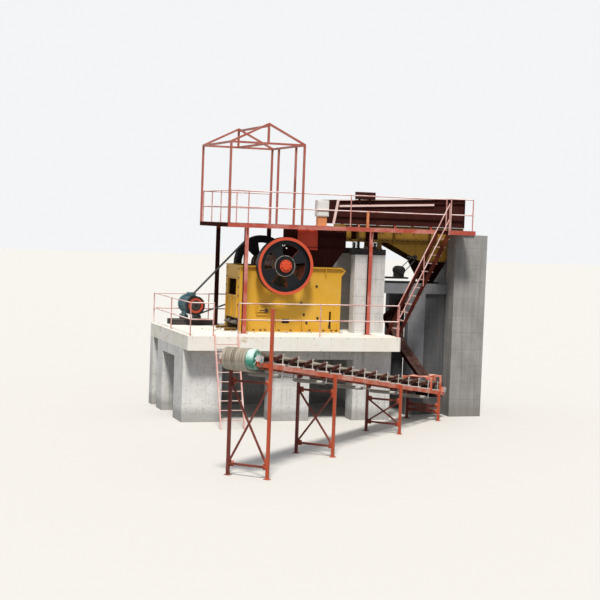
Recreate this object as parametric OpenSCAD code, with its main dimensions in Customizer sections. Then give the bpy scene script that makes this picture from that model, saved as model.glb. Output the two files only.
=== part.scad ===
// Jaw crusher station: a jaw crusher on a concrete platform with its drive, the vibrating
// feeder that fills it, steel walkways, stair and canopy frame, and the belt conveyor below.
// X runs along the crusher from the motor end to the feeder end, Y runs away from the
// open front, Z is up. The origin is on the ground under the middle of the front wall.

/* [Concrete platform] */
// Height of the deck above the ground
deck_z = 2950; // [2600:10:3400]
// Thickness of the deck slab
slab_t = 480; // [300:10:600]
// Left edge of the slab
slab_left = -3800; // [-4300:10:-3750]
// Right edge of the slab
slab_right = 3800; // [3790:10:4100]
// Front edge of the slab, overhanging the front wall
slab_front = -950; // [-1200:10:-900]
// Depth of the slab from front to back
slab_depth = 5600; // [5500:10:6200]
// Thickness of the front wall
front_wall_t = 650; // [500:10:700]
// Thickness of the side and back walls
side_wall_t = 500; // [300:10:600]
// Set-back of the right wall under the slab
right_set_back = 100; // [0:10:200]
// Half of the width of the middle pier
pier_half = 700; // [500:10:900]
// Width of the left opening of the front wall
left_opening_w = 1730; // [1200:10:1900]
// Width of the right opening of the front wall
right_opening_w = 1600; // [1200:10:1800]
// Height of the openings of the front wall
opening_h = 2120; // [1900:10:2300]
// Start of the doorway of the left wall, from the front face
door_from = 1200; // [1000:10:1400]
// Width of the doorway of the left wall
door_w = 1750; // [1000:10:1900]
// Gap between the left wall and the back wall
back_gap = 720; // [500:10:900]
// Chamfer of the slab's front corners
slab_chamfer = 60; // [20:5:120]
// Length of the discharge hole in the slab
discharge_l = 1500; // [1000:10:1600]
// Width of the discharge hole in the slab
discharge_w = 1400; // [1000:10:1500]
// Start of the discharge hole along the crusher
discharge_x = 450; // [300:10:600]

/* [Crusher frame] */
// Centre line of the crusher across the deck
crusher_y = 1950; // [1900:10:2000]
// Place of the eccentric shaft along the crusher
shaft_x = -60; // [-160:10:60]
// Height of the eccentric shaft above the deck
shaft_z = 2340; // [2300:10:2420]
// Width of the crusher over its side plates
body_w = 1780; // [1640:10:1860]
// Length of the body behind the shaft
body_back = 1450; // [1350:10:1600]
// Length of the body in front of the shaft
body_ahead = 2310; // [2200:10:2400]
// Height of the side plates
body_h = 2310; // [2200:10:2330]
// Thickness of the side plates
plate_t = 90; // [60:5:110]
// Thickness of the end walls
end_wall_t = 80; // [50:5:120]
// Gap under the back end wall
back_clear = 450; // [300:10:600]
// Height of the window in the back end wall over the deck
toggle_window_z = 1240; // [1150:10:1300]
// Height of the window in the back end wall
toggle_window_h = 570; // [400:10:700]
// Width of the window in the back end wall
toggle_window_w = 1100; // [800:10:1300]
// Width of the base and top flanges
flange_w = 90; // [60:5:120]
// Thickness of the base and top flanges
flange_t = 45; // [30:5:70]
// Thickness of the ribs on the frame
rib_t = 30; // [16:2:40]

/* [Jaws] */
// Opening of the jaws at the top
gape = 900; // [700:10:950]
// Opening of the jaws at the bottom
setting = 150; // [100:5:220]
// Thickness of the jaw plates over their teeth
jaw_plate_t = 110; // [80:5:140]
// Depth of the teeth of the jaw plates
tooth_d = 35; // [20:1:45]
// Pitch of the teeth of the jaw plates
tooth_pitch = 120; // [90:5:160]
// Distance from the shaft to the top of the fixed jaw
fixed_jaw_x = 1520; // [1480:10:1600]
// Lean of the fixed jaw over its height
fixed_jaw_lean = 370; // [250:10:450]
// Height of the foot of the jaws over the deck
jaw_foot_z = 350; // [250:10:450]
// Height of the top of the jaws over the deck
jaw_top_z = 2230; // [2100:10:2280]
// Thickness of the cheek plates
cheek_t = 50; // [30:5:70]

/* [Drive] */
// Diameter of both flywheels
wheel_d = 2000; // [1800:10:2080]
// Distance between the middles of the flywheels
wheel_spacing = 2800; // [2700:10:2900]
// Width of the flywheel rims
wheel_w = 300; // [220:10:340]
// Thickness of the plain flywheel's rim
rim_t = 115; // [80:5:160]
// Thickness of the flywheel webs
web_t = 60; // [40:5:100]
// Diameter of the flywheel hubs
hub_d = 440; // [380:10:500]
// Diameter of the eccentric shaft
shaft_d = 260; // [200:10:300]
// Diameter of the main bearing housings
housing_d = 640; // [560:10:700]
// Diameter of the motor pulley
motor_pulley_d = 680; // [500:10:760]
// Place of the motor pulley along the crusher
motor_x = -2500; // [-2600:10:-2400]
// Height of the motor shaft above the deck
motor_z = 740; // [700:10:800]
// Diameter of the motor body
motor_d = 720; // [600:10:740]
// Length of the motor body
motor_l = 880; // [700:10:900]
// Number of belts
belt_count = 6; // [4:1:7]
// Pitch of the belt grooves
belt_pitch = 42; // [40:1:42]
// Width of one belt
belt_w = 24; // [18:1:26]
// Thickness of one belt
belt_t = 19; // [14:1:22]
// Running gap round the belts
belt_gap = 6; // [5.2:0.1:6.5]

/* [Walkway and canopy] */
// Height of the walkway above the deck
walk_z = 3770; // [3700:10:4000]
// Front face of the walkway
walk_front = 240; // [200:10:300]
// Back of the walkway along the feeder
walk_back = 1080; // [1000:10:1120]
// Left end of the walkway
walk_left = -2240; // [-2400:10:-2200]
// Right end of the walkway
walk_right = 7000; // [6900:10:7100]
// Set-back of the canopy floor from the back edge of the slab
canopy_inset = 630; // [500:10:700]
// Right side of the canopy floor
canopy_right = 460; // [420:10:500]
// Depth of the walkway channels
channel_h = 140; // [120:5:180]
// Width of the walkway channels
channel_w = 60; // [50:5:80]
// Thickness of the walkway plates
tread_t = 8; // [6:1:12]
// Height of the canopy eaves above the walkway
eave_h = 2790; // [2500:10:3000]
// Rise of the canopy gables
gable_h = 670; // [500:10:800]
// Size of the canopy posts
canopy_post = 70; // [50:5:90]
// Size of the walkway posts
post_s = 130; // [90:5:150]
// Place of the left front post
post_left_x = -1545; // [-1700:5:-1500]
// Place of the right front post
post_right_x = 3010; // [2900:10:3050]
// Height of the handrails
rail_h = 1100; // [1000:10:1200]
// Diameter of the handrail pipes
pipe_d = 42; // [34:1:50]
// Spacing limit of the handrail posts
rail_post_spacing = 1500; // [1200:50:2000]
// Setback of the slab handrail from the edge
rail_inset = 80; // [60:5:120]
// Width of the access ladder
ladder_w = 800; // [600:10:850]
// Left stile of the access ladder
ladder_x = -2900; // [-3000:10:-2850]
// Distance of the ladder's foot from the slab edge
ladder_reach = 1150; // [800:10:1300]
// Spacing of the ladder rungs
rung_pitch = 300; // [250:5:330]

/* [Stair] */
// Foot of the stair on the slab
stair_foot_x = 3660; // [3600:10:3670]
// Top of the stair at the walkway
stair_top_x = 5545; // [5500:5:5700]
// Width of the stair
stair_w = 720; // [600:10:760]
// Distance of the stair from the walkway
stair_off = 300; // [200:10:320]
// Number of treads
tread_count = 12; // [11:1:14]
// Depth of a tread
tread_d = 140; // [130:5:180]
// Depth of the stringers
stringer_h = 110; // [100:5:120]
// Thickness of the stringers
stringer_t = 12; // [8:1:16]

/* [Feeder] */
// Outer width of the feeder trough
trough_w = 1300; // [1200:10:1340]
// Start of the trough above the crusher mouth
trough_x = 2440; // [2440:10:2480]
// Length of the trough
trough_l = 4610; // [4500:10:4650]
// Height of the trough's floor above the deck
trough_z = 3250; // [3200:10:3300]
// Height of the trough sides
trough_h = 610; // [560:10:640]
// Thickness of the trough plates
trough_t = 14; // [10:1:20]
// Height of the skirt boards at the crusher
skirt_h = 850; // [700:10:950]
// Height of the skirt boards at the far end
skirt_end_h = 1090; // [950:10:1150]
// Outer width of the skirt boards
skirt_w = 1560; // [1500:10:1600]
// Thickness of the skirt boards
skirt_t = 14; // [10:1:20]
// Length of the fingers of the grizzly
grizzly_l = 1500; // [1000:10:1600]
// Pitch of the grizzly bars
grizzly_pitch = 150; // [120:5:200]
// Width of a grizzly bar
grizzly_bar = 60; // [40:2:70]
// Height of the column top above the deck
column_h = 2800; // [2700:10:2850]
// Width of the concrete columns
column_w = 1150; // [900:10:1200]
// Depth of the concrete columns
column_d = 420; // [350:10:450]
// Front of the front concrete column
column_y = 800; // [780:10:900]
// Depth of the feeder support beams
support_h = 200; // [160:10:220]
// Diameter of the feeder springs
spring_d = 150; // [120:5:170]
// Thickness of the feed chute's plates
chute_t = 14; // [10:1:20]
// Outer width of the feed chute
chute_w = 1500; // [1450:10:1540]
// Left side of the feed chute
chute_left = 560; // [520:10:620]
// Right side of the feed chute
chute_right = 2420; // [2400:10:2440]
// Height of the outlet of the undersize hopper above the deck
hopper_z = 2600; // [2500:10:2650]
// Left side of the undersize hopper
hopper_left = 4100; // [4050:10:4200]
// Right side of the undersize hopper
hopper_right = 6650; // [6560:10:6700]
// Left side of the hopper's outlet
outlet_left = 5420; // [5350:10:5500]
// Right side of the hopper's outlet
outlet_right = 6390; // [6300:10:6450]
// Front of the big concrete pier
pier_y = 300; // [200:10:400]
// Left side of the big concrete pier
pier_x = 6750; // [6720:10:6800]
// Left side of the pier's front wing
pier_wing_x = 6300; // [6250:10:6400]
// Length of the big concrete pier
pier_l = 800; // [700:10:1000]
// Depth of the big concrete pier
pier_d = 3400; // [3200:10:3600]

/* [Conveyor] */
// Direction of the conveyor
conv_turn = 46.5; // [44:0.5:48]
// Slope of the conveyor
conv_slope = 8.4; // [7.5:0.1:9]
// Place of the first trestle, along X
conv_x = -4420; // [-4600:10:-4300]
// Place of the first trestle, along Y
conv_y = -10225; // [-10400:10:-10100]
// Height of the conveyor frame at the first trestle
conv_z = 3020; // [2800:10:3100]
// Distance from the head drum to the first trestle
head_ahead = 600; // [500:10:700]
// Distance from the first trestle to the second
second_trestle = 4350; // [4200:10:4500]
// Distance from the first trestle to the third
third_trestle = 9850; // [9700:10:10000]
// Distance from the first trestle to the tail drum
tail_at = 14300; // [14100:10:14320]
// Distance between the side beams
conv_w = 1100; // [1050:10:1150]
// Depth of the side beams
conv_beam_h = 120; // [100:5:125]
// Flange width of the side beams
conv_beam_w = 65; // [50:5:70]
// Width of the belt
conv_belt_w = 700; // [650:10:720]
// How far the belt runs off the middle
belt_shift = 100; // [0:10:100]
// Thickness of the belt
conv_belt_t = 12; // [10:1:16]
// Diameter of the head drum
drum_d = 540; // [480:10:560]
// Diameter of the tail drum
tail_d = 540; // [480:10:560]
// Spacing of the carrying idlers
idler_pitch = 1000; // [900:10:1200]
// Diameter of the idler rollers
roller_d = 108; // [89:1:120]
// Size of the trestle posts
trestle_s = 80; // [60:5:100]

/* [Hidden] */
$fn = 96;
// Sides of the handrail pipes and rungs, and of rods that are round
pipe_sides = 8;
round_sides = 24;
// Flats of a belt round each of its wheels
loop_sides = 36;
// Overrun of a cut past the faces it opens
cut = 1;
// Gap between pieces that only rest against each other
seat_gap = 0.3;
// Radial clearance of a shaft in its bearing
running_fit = 0.06;
// Gap round a moving piece
moving_gap = 6;

// Platform
under_z = deck_z - slab_t;
slab_back = slab_front + slab_depth;
wall_front_y = -front_wall_t / 2;
wall_inner_y = front_wall_t / 2;
wall_right_x = slab_right - right_set_back;
back_wall_y = slab_back - side_wall_t;
left_wall_end = back_wall_y - back_gap;
door_start = wall_front_y + door_from;

// Crusher, measured from the shaft and the deck
body_half = body_w / 2;
inner_half = body_half - plate_t;
swing_top_x = fixed_jaw_x - gape;
swing_foot_x = fixed_jaw_x - fixed_jaw_lean - setting;
jaw_rise = jaw_top_z - jaw_foot_z;
fixed_angle = atan2(fixed_jaw_lean, jaw_rise);
swing_angle = atan2(swing_foot_x - swing_top_x, jaw_rise);
// Clearance of the jaw plates from the cheek plates, and of those from the jaw plates' faces
jaw_plate_half = inner_half - cheek_t - 15;
cheek_gap = 12;
// Room for the clamp over the swing jaw plate
jaw_clamp = 60;
toggle_z = 620;
toggle_h = 80;
toggle_beam_x = -900;
toggle_beam_w = 260;
toggle_beam_h = 420;
toggle_seat_x = swing_foot_x - 560;
rod_z = 300;
rod_d = 60;
rod_y = 420;
rod_spring_d = 160;
rod_spring_l = 300;
rod_lug_t = 50;
hub_r = 330;
// The pitman: half of its width, where its sides leave the hub and the step at its foot
pitman_half = inner_half - 20;
pitman_lean = 37;
pitman_foot = 120;
// Nuts of the tension rods and how far the rods run on
rod_over = 150;
rod_nut_d = 108;
rod_nut_l = 60;
rod_nut_in = 40;

// Drive, measured from the shaft
wheel_r = wheel_d / 2;
motor_pulley_r = motor_pulley_d / 2;
pulley_y = wheel_spacing / 2;
groove_d = belt_t;
groove_w = belt_w + 2 * belt_gap;
belt_run = [motor_x - shaft_x, motor_z - shaft_z];
motor_shaft_d = 100;
motor_gap = 90;
motor_start = pulley_y + wheel_w / 2 + motor_gap;
motor_end = motor_start + motor_l;
motor_foot_drop = 400;

// Walkway
canopy_back = slab_back - canopy_inset;
walk_abs = deck_z + walk_z;
beam_under = walk_abs - channel_h;
eave_z = walk_abs + eave_h;

// Feeder
feed_mid = crusher_y;
trough_end = trough_x + trough_l;
trough_half = trough_w / 2;
skirt_gap = 10;
skirt_z = trough_z + trough_h + skirt_gap;
skirt_left = trough_x - 600;
skirt_lean = 150;
skirt_right = trough_end - 60;
skirt_half = skirt_w / 2;
column_x = slab_right - column_w;
column_back_y = 2 * feed_mid - column_y - column_d;
spring_y = trough_half + 180;
spring_xs = [column_x + 50, column_x + 850, pier_x + 130];
support_z = column_h + support_h;
bracket_h = 80;
spring_top = trough_z + 20;

// Conveyor
conv_half = conv_w / 2;
conv_length = head_ahead + tail_at;
tail_trestle = 600;
trestle_places = [0, second_trestle, third_trestle, tail_at - tail_trestle];

// Openings and fittings of the crusher frame, from the shaft and the deck
// Slot of the toggle block in the side plates: place, height, width and height of the cut
slot_x = 130;
slot_z = 310;
slot_w = 280;
slot_h = 150;
// Narrow slot of the jaw wedge
wedge_x = body_ahead - 420;
wedge_z = 120;
wedge_w = 80;
wedge_h = 620;
// Gussets on the base flange
gusset_h = 450;
gusset_xs = [-1100, -140, 830, body_ahead - 90];
gusset_in = 10;
// Lifting lug at the top of the feed end
lug_l = 160;
lug_h = 330;
lug_hole_d = 55;
lug_hole_drop = 20;
// Hinge plate on the side, over the toggle
hinge_x = -840;
hinge_z = 700;
hinge_w = 440;
hinge_h = 230;
hinge_t = 60;
// Break of the top flange round the bearing housing
flange_break = housing_d / 2 + 90;
// Plate behind the fixed jaw
seat_wall_t = 60;
// Depth of the toggle's pockets
toggle_pocket = 40;
// Lugs that hold the tension rods
rod_lug_w = 180;
// Gap between the main bearing and the flywheel rim
housing_gap = 40;
// Thickness and overhang of the bearing covers
cap_t = 60;
cap_over = 50;

// Shaft and wheels
shaft_half = wheel_spacing / 2 + 190;
window_in = hub_d / 2 + 160;
window_out = wheel_d / 2 - rim_t - 145;
window_sweep = 52;
window_count = 4;
window_turn = 0.17;
hub_half = 150;
// Thickness of the band that joins the belt's ribs
band_t = 8;

// Motor: bare body, the end of its nose, its fins, feet and terminal box
motor_body_d = motor_d - 64;
motor_face_d = 400;
motor_end_l = 30;
motor_fin_in = 10;
motor_foot_in = 20;
motor_foot_rib = 40;
motor_box_in = 80;
motor_shaft_in = 160;
motor_nose = 20;
motor_fin_h = (motor_d - motor_body_d) / 2;
motor_fin_t = 10;
motor_fins = 32;
motor_shield_l = 90;
motor_cowl_l = 170;
motor_foot_x = 240;
motor_foot_w = 160;
motor_foot_t = 40;
motor_box_w = 260;
motor_box_l = 300;
motor_box_h = 90;
// Slide rails and base beams under the motor
slide_h = 140;
slide_w = 150;
slide_over = 60;
base_l = 1560;
base_w = 140;

// Walkway joists and the arms that hold the chute and the skirt boards
joist_pitch = 900;
joist_w = 60;
joist_drop = 60;
landing_w = stair_w + stair_off;
landing_right = stair_top_x + 1000;
landing_open = 60;
steel_t = 8;
plate_gap = 2;
skirt_arms = [trough_x + 360, trough_x + 1760, trough_x + 3160];
skirt_foot = skirt_z - walk_z + channel_h;
chute_arms = [chute_left + 340, chute_right - 520];
arm_w = 80;
arm_h = 100;
// Foot plates of posts
foot_plate_t = 15;
// Posts of the front handrail between the canopy and the stair, and the rail's end
rail_posts = [walk_left + 740, walk_left + 4475];
rail_end = stair_top_x + 350;
// Inner posts of the canopy's right side
side_posts = [walk_front + 960, walk_front + 2950];
// Deck handrail: gap at the ladder and end of the back run
rail_gap = 30;
rear_rail_end = 400;
// Ladder: overrun over the deck, sizes of its stiles and rungs
ladder_over = 60;
stile_w = 45;
stile_h = 60;
rung_d = 30;
rung_end = 200;

// Stair
stair_rise = walk_z;
stair_run = stair_top_x - stair_foot_x;
stair_front = walk_front - landing_w;
stair_angle = atan2(stair_rise, stair_run);
stair_rail_in = 40;
stair_nose = 60;
tread_t_stair = 30;
tread_in = 10;

// Feed chute, from the deck
chute_drop = 20;
chute_knee_z = walk_z - 770;
chute_foot_z = body_h + 20;
chute_foot_left = chute_left + 160;
chute_foot_right = chute_right - 470;
chute_lip_z = trough_z - 70;
// Foot of the inner plate and end of the space behind it
chute_slide = chute_right - 860;
chute_seam = 0.9;

// Skirt boards
skirt_rib_low = 260;
skirt_rib_high = 180;
skirt_rib_w = 60;
skirt_rib_t = 12;

// Feeder: lip of the trough, its exciter and the place of the grizzly
trough_lip = 60;
exciter_x = trough_x + 1310;
exciter_z = trough_z - 290;
exciter_d = 260;
exciter_arm = 90;
exciter_arm_t = 20;
grizzly_x = trough_x + 1860;
bracket_in = 20;
// Support beams on the columns
support_left = column_x - 90;
support_w = 200;
support_over = 100;
// Feeder motor on its bracket at the front column
feeder_motor_x = slab_right + 620;
feeder_motor_z = 2280;
feeder_motor_d = 300;
feeder_motor_l = 480;
feeder_motor_rise = 240;
feeder_shelf_t = 60;
feeder_foot_w = 250;
feeder_shaft_d = 60;
feeder_pulley_d = 210;
feeder_pulley_w = 80;

// Undersize hopper and its chute: throat, turn behind the wall and bend before it
hopper_inset = 60;
hopper_t = 12;
chute_x = 4500;
chute_size = 400;
chute_throat = 1800;
chute_turn = 550;
chute_bend = -300;
chute_bend_y = 950;
// Thickness of the ends a duct is drawn between
chute_edge = 0.01;

// Tie beams and posts of concrete beside the platform
tie_y = column_y + 40;
tie_w = 340;
tie_z = 1810;
tie_h = 360;
tie_post_x = slab_right + 1000;
tie_post_w = 640;
tie_wall_in = 100;
pier_step_z = trough_z - 250;

// Conveyor, along its slope from the middle of its frame
belt_top = 400;
drum_z = belt_top - drum_d / 2 - conv_belt_t - moving_gap;
tail_z = belt_top - tail_d / 2 - conv_belt_t - seat_gap;
frame_ahead = 150;
cross_pitch = 2000;
cross_w = 60;
bearing_w = 220;
bearing_t = 90;
drum_shaft_d = 90;
drum_over = 100;
shaft_over = 20;
pad_w = 60;
pad_t = 12;
idler_in = 45;
idler_rod = 30;
idler_plate = 24;
roller_in = 80;
hanger_in = 26;
hanger_t = 12;
idler_first = 940;
idler_places = [for (x = [idler_first:idler_pitch:along(tail_at) - idler_pitch / 2]) x];
return_places = [
  for (x = [-along(head_ahead) + 1.5 * idler_pitch:3 * idler_pitch:along(tail_at) - idler_pitch]) x
];
// Loading boards over the tail, with the seat of the undersize chute
load_at = tail_at - 800;
load_l = 1100;
load_half = 330;
load_gap = 15;
load_t = 10;
load_rise = 70;
load_z = frame_z(load_at - load_l / 2) + (belt_top + load_gap) / cos(conv_slope) + load_rise;
// Trestles: height of the low bar, drop of the high one and sizes of bars and braces
trestle_low = 320;
trestle_high = 400;
trestle_bar = 60;
trestle_brace = 48;
// Rise of the one tall post over the frame
trestle_tall = 1580;

// A block from one corner to the opposite one
module box(a, b) {
  translate(a)
    cube(b - a);
}

// A straight bar of rectangular section between two points
module bar(a, b, w, h) {
  run = b - a;
  translate(a)
    rotate([0, -atan2(run.z, norm([run.x, run.y])), atan2(run.y, run.x)])
      translate([0, -w / 2, -h / 2])
        cube([norm(run), w, h]);
}

// A round or many-sided bar between two points
module pipe(a, b, d, sides = pipe_sides) {
  run = b - a;
  translate(a)
    rotate([0, atan2(norm([run.x, run.y]), run.z), atan2(run.y, run.x)])
      cylinder(h = norm(run), d = d, $fn = sides);
}

// A channel along X with its web at y = 0 and its flanges toward +Y
module channel(length, h, w, t) {
  cube([length, t, h]);
  cube([length, w, t]);
  translate([0, 0, h - t])
    cube([length, w, t]);
}

// A plate drawn in the XZ plane, as thick as t along +Y
module side_plate(t) {
  translate([0, t, 0])
    rotate([90, 0, 0])
      linear_extrude(t)
        children();
}

// Puts its children on the shaft's foot: the origin moves to the deck under the shaft
module on_crusher() {
  translate([shaft_x, crusher_y, deck_z])
    children();
}

// Repeats its children mirrored about the crusher's centre line
module both_sides() {
  children();
  mirror([0, 1, 0])
    children();
}

// Concrete platform

module wall_front() {
  color("lightgray")
    difference() {
      box([slab_left, wall_front_y, 0], [wall_right_x, wall_inner_y, under_z]);
      for (x = [[-pier_half - left_opening_w, -pier_half], [pier_half, pier_half + right_opening_w]])
        box([x[0], wall_front_y - cut, -cut], [x[1], wall_inner_y + cut, opening_h]);
    }
}

module wall_left() {
  color("lightgray")
    difference() {
      box([slab_left, wall_inner_y, 0], [slab_left + side_wall_t, left_wall_end, under_z]);
      box(
        [slab_left - cut, door_start, -cut],
        [slab_left + side_wall_t + cut, door_start + door_w, opening_h]
      );
    }
}

module wall_right() {
  color("lightgray")
    box([wall_right_x - side_wall_t, wall_inner_y, 0], [wall_right_x, back_wall_y, under_z]);
}

module wall_back() {
  color("lightgray")
    box([slab_left, back_wall_y, 0], [wall_right_x, slab_back, under_z]);
}

module slab() {
  color("gainsboro")
    difference() {
      translate([0, 0, under_z])
        linear_extrude(slab_t)
          polygon([
            [slab_left + slab_chamfer, slab_front],
            [slab_right - slab_chamfer, slab_front],
            [slab_right, slab_front + slab_chamfer],
            [slab_right, slab_back],
            [slab_left, slab_back],
            [slab_left, slab_front + slab_chamfer]
          ]);
      translate([discharge_x, crusher_y - discharge_w / 2, under_z - cut])
        cube([discharge_l, discharge_w, slab_t + 2 * cut]);
    }
}

// Crusher

// The outline of one side plate, with the seat of the main bearing
module side_outline() {
  difference() {
    translate([-body_back, 0])
      square([body_back + body_ahead, body_h]);
    translate([0, shaft_z])
      circle(d = housing_d);
    translate([slot_x, slot_z])
      square([slot_w, slot_h]);
    translate([wedge_x, wedge_z])
      square([wedge_w, wedge_h]);
  }
}

// One side plate with its flanges, gussets, hinge bracket and lifting lug, outside toward -Y
module frame_side() {
  translate([0, -body_half, 0])
    side_plate(plate_t)
      side_outline();
  box([-body_back, -body_half - flange_w, 0], [body_ahead, -body_half, flange_t]);
  box([-body_back, -body_half - flange_w, body_h - flange_t], [-flange_break, -body_half, body_h]);
  box([flange_break, -body_half - flange_w, body_h - flange_t], [body_ahead, -body_half, body_h]);
  for (x = gusset_xs)
    translate([x, -body_half, flange_t])
      rotate([90, 0, -90])
        translate([0, 0, -rib_t / 2])
          linear_extrude(rib_t)
            polygon([[0, 0], [flange_w - gusset_in, 0], [0, gusset_h]]);
  translate([0, -body_half - hinge_t, 0])
    side_plate(hinge_t)
      difference() {
        translate([hinge_x, hinge_z])
          square([hinge_w, hinge_h]);
        translate([hinge_x + hinge_w - hinge_h / 3, hinge_z + hinge_h / 2])
          circle(d = lug_hole_d);
      }
  translate([0, -body_half, 0])
    side_plate(plate_t)
      difference() {
        polygon([
          [body_ahead, body_h],
          [body_ahead + lug_l, body_h - lug_h / 3],
          [body_ahead, body_h - lug_h]
        ]);
        translate([body_ahead + lug_l / 3, body_h - lug_h / 3 - lug_hole_drop])
          circle(d = lug_hole_d);
      }
}

// The wall that the fixed jaw leans against, with the ribs behind it
module jaw_seat() {
  back_top = fixed_jaw_x + jaw_plate_t / cos(fixed_angle) + seat_gap;
  back_foot = back_top - fixed_jaw_lean;
  wall_x = body_ahead - end_wall_t;
  translate([0, -inner_half, 0])
    side_plate(2 * inner_half)
      polygon([
        [back_foot, jaw_foot_z],
        [back_foot + seat_wall_t, jaw_foot_z],
        [back_top + seat_wall_t, jaw_top_z],
        [back_top, jaw_top_z]
      ]);
  for (i = [-1.5:1:1.5])
    translate([0, i * inner_half / 2 - rib_t / 2, 0])
      side_plate(rib_t)
        polygon([
          [back_foot + seat_wall_t, jaw_foot_z],
          [wall_x, jaw_foot_z],
          [wall_x, jaw_top_z],
          [back_top + seat_wall_t, jaw_top_z]
        ]);
}

module crusher_frame() {
  color("goldenrod")
    on_crusher() {
      both_sides()
        frame_side();
      difference() {
        box([-body_back, -inner_half, back_clear], [-body_back + end_wall_t, inner_half, body_h]);
        box(
          [-body_back - cut, -toggle_window_w / 2, toggle_window_z],
          [-body_back + end_wall_t + cut, toggle_window_w / 2, toggle_window_z + toggle_window_h]
        );
      }
      box([body_ahead - end_wall_t, -inner_half, 0], [body_ahead, inner_half, body_h]);
      jaw_seat();
      translate([toggle_beam_x - toggle_beam_w, -inner_half, toggle_z - toggle_beam_h / 2])
        difference() {
          cube([toggle_beam_w, 2 * inner_half, toggle_beam_h]);
          translate([toggle_beam_w - toggle_pocket, -cut, (toggle_beam_h - toggle_h) / 2 - seat_gap])
            cube([toggle_pocket + cut, 2 * (inner_half + cut), toggle_h + 2 * seat_gap]);
        }
      for (side = [-1, 1])
        difference() {
          box(
            [toggle_beam_x - toggle_beam_w, side * rod_y - rod_lug_w / 2, rod_z - rod_lug_w / 2],
            [
              toggle_beam_x - toggle_beam_w + rod_lug_t,
              side * rod_y + rod_lug_w / 2,
              toggle_z - toggle_beam_h / 2
            ]
          );
          translate([toggle_beam_x - toggle_beam_w - cut, side * rod_y, rod_z])
            rotate([0, 90, 0])
              cylinder(h = rod_lug_t + 2 * cut, d = rod_d + 2 * seat_gap);
        }
    }
}

// A jaw plate standing on its foot with its teeth toward +X, wear face at x = 0
module jaw_plate(length, half) {
  teeth = floor(2 * half / tooth_pitch);
  margin = half - teeth * tooth_pitch / 2;
  linear_extrude(length)
    polygon(concat(
      [[-jaw_plate_t, half], [-jaw_plate_t, -half], [-tooth_d, -half]],
      [
        for (i = [0:teeth - 1])
          each [
            [-tooth_d, -half + margin + i * tooth_pitch],
            [0, -half + margin + (i + 0.35) * tooth_pitch],
            [0, -half + margin + (i + 0.65) * tooth_pitch],
            [-tooth_d, -half + margin + (i + 1) * tooth_pitch]
          ]
      ],
      [[-tooth_d, half]]
    ));
}

module fixed_jaw() {
  color("dimgray")
    on_crusher()
      translate([fixed_jaw_x - fixed_jaw_lean, 0, jaw_foot_z])
        rotate([0, fixed_angle, 0])
          mirror([1, 0, 0])
            jaw_plate(jaw_rise * cos(fixed_angle), jaw_plate_half);
}

module swing_jaw_plate() {
  color("dimgray")
    on_crusher()
      translate([swing_foot_x, 0, jaw_foot_z])
        rotate([0, -swing_angle, 0])
          jaw_plate(jaw_rise / cos(swing_angle) - jaw_clamp, jaw_plate_half);
}

// The pitman that hangs on the shaft and carries the swing jaw plate
module swing_jaw() {
  plate_back = jaw_plate_t / cos(swing_angle) + seat_gap;
  color("darkkhaki")
    on_crusher()
      difference() {
        translate([0, -pitman_half, 0])
          side_plate(2 * pitman_half) {
            translate([0, shaft_z])
              circle(r = hub_r);
            polygon([
              [-hub_r * cos(pitman_lean), shaft_z - hub_r * sin(pitman_lean)],
              [toggle_seat_x, toggle_z + toggle_beam_h / 2],
              [toggle_seat_x, toggle_z - toggle_beam_h / 2],
              [toggle_seat_x + pitman_foot, jaw_foot_z],
              [swing_foot_x - plate_back, jaw_foot_z],
              [swing_top_x - plate_back, jaw_top_z],
              [hub_r * sin(pitman_lean), shaft_z + hub_r * cos(pitman_lean)]
            ]);
          }
        translate([0, pitman_half + cut, shaft_z])
          rotate([90, 0, 0])
            cylinder(h = 2 * (pitman_half + cut), d = shaft_d + 2 * running_fit);
        translate([toggle_seat_x - cut, -pitman_half - cut, toggle_z - toggle_h / 2 - seat_gap])
          cube([toggle_pocket + cut, 2 * (pitman_half + cut), toggle_h + 2 * seat_gap]);
      }
}

module cheek_plates() {
  color("dimgray")
    on_crusher()
      both_sides()
        translate([0, -inner_half + seat_gap, 0])
          side_plate(cheek_t)
            polygon([
              [swing_foot_x + cheek_gap, jaw_foot_z],
              [fixed_jaw_x - fixed_jaw_lean - cheek_gap, jaw_foot_z],
              [fixed_jaw_x - cheek_gap, jaw_top_z],
              [swing_top_x + cheek_gap, jaw_top_z]
            ]);
}

module toggle_plate() {
  color("gray")
    on_crusher()
      box(
        [toggle_beam_x - toggle_pocket + seat_gap, -pitman_half, toggle_z - toggle_h / 2],
        [toggle_seat_x + toggle_pocket - seat_gap, pitman_half, toggle_z + toggle_h / 2]
      );
}

// Two rods that hold the toggle in its seats, each with its spring and nut
module tension_rod() {
  rod_end = -body_back - rod_over;
  lug_back = toggle_beam_x - toggle_beam_w;
  color("gray")
    on_crusher()
      for (side = [-1, 1])
        translate([0, side * rod_y, rod_z]) {
          pipe([rod_end, 0, 0], [toggle_seat_x + rod_over, 0, 0], rod_d, round_sides);
          translate([lug_back - seat_gap, 0, 0])
            pipe([-rod_spring_l, 0, 0], [0, 0, 0], rod_spring_d, round_sides);
          pipe([rod_end + rod_nut_in, 0, 0], [rod_end + rod_nut_in + rod_nut_l, 0, 0], rod_nut_d, 6);
          box(
            [toggle_seat_x + pitman_foot + seat_gap, -rod_d / 2, -rod_d / 2],
            [toggle_seat_x + pitman_foot + rod_d, rod_d / 2, jaw_foot_z - rod_z - seat_gap]
          );
        }
}

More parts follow.
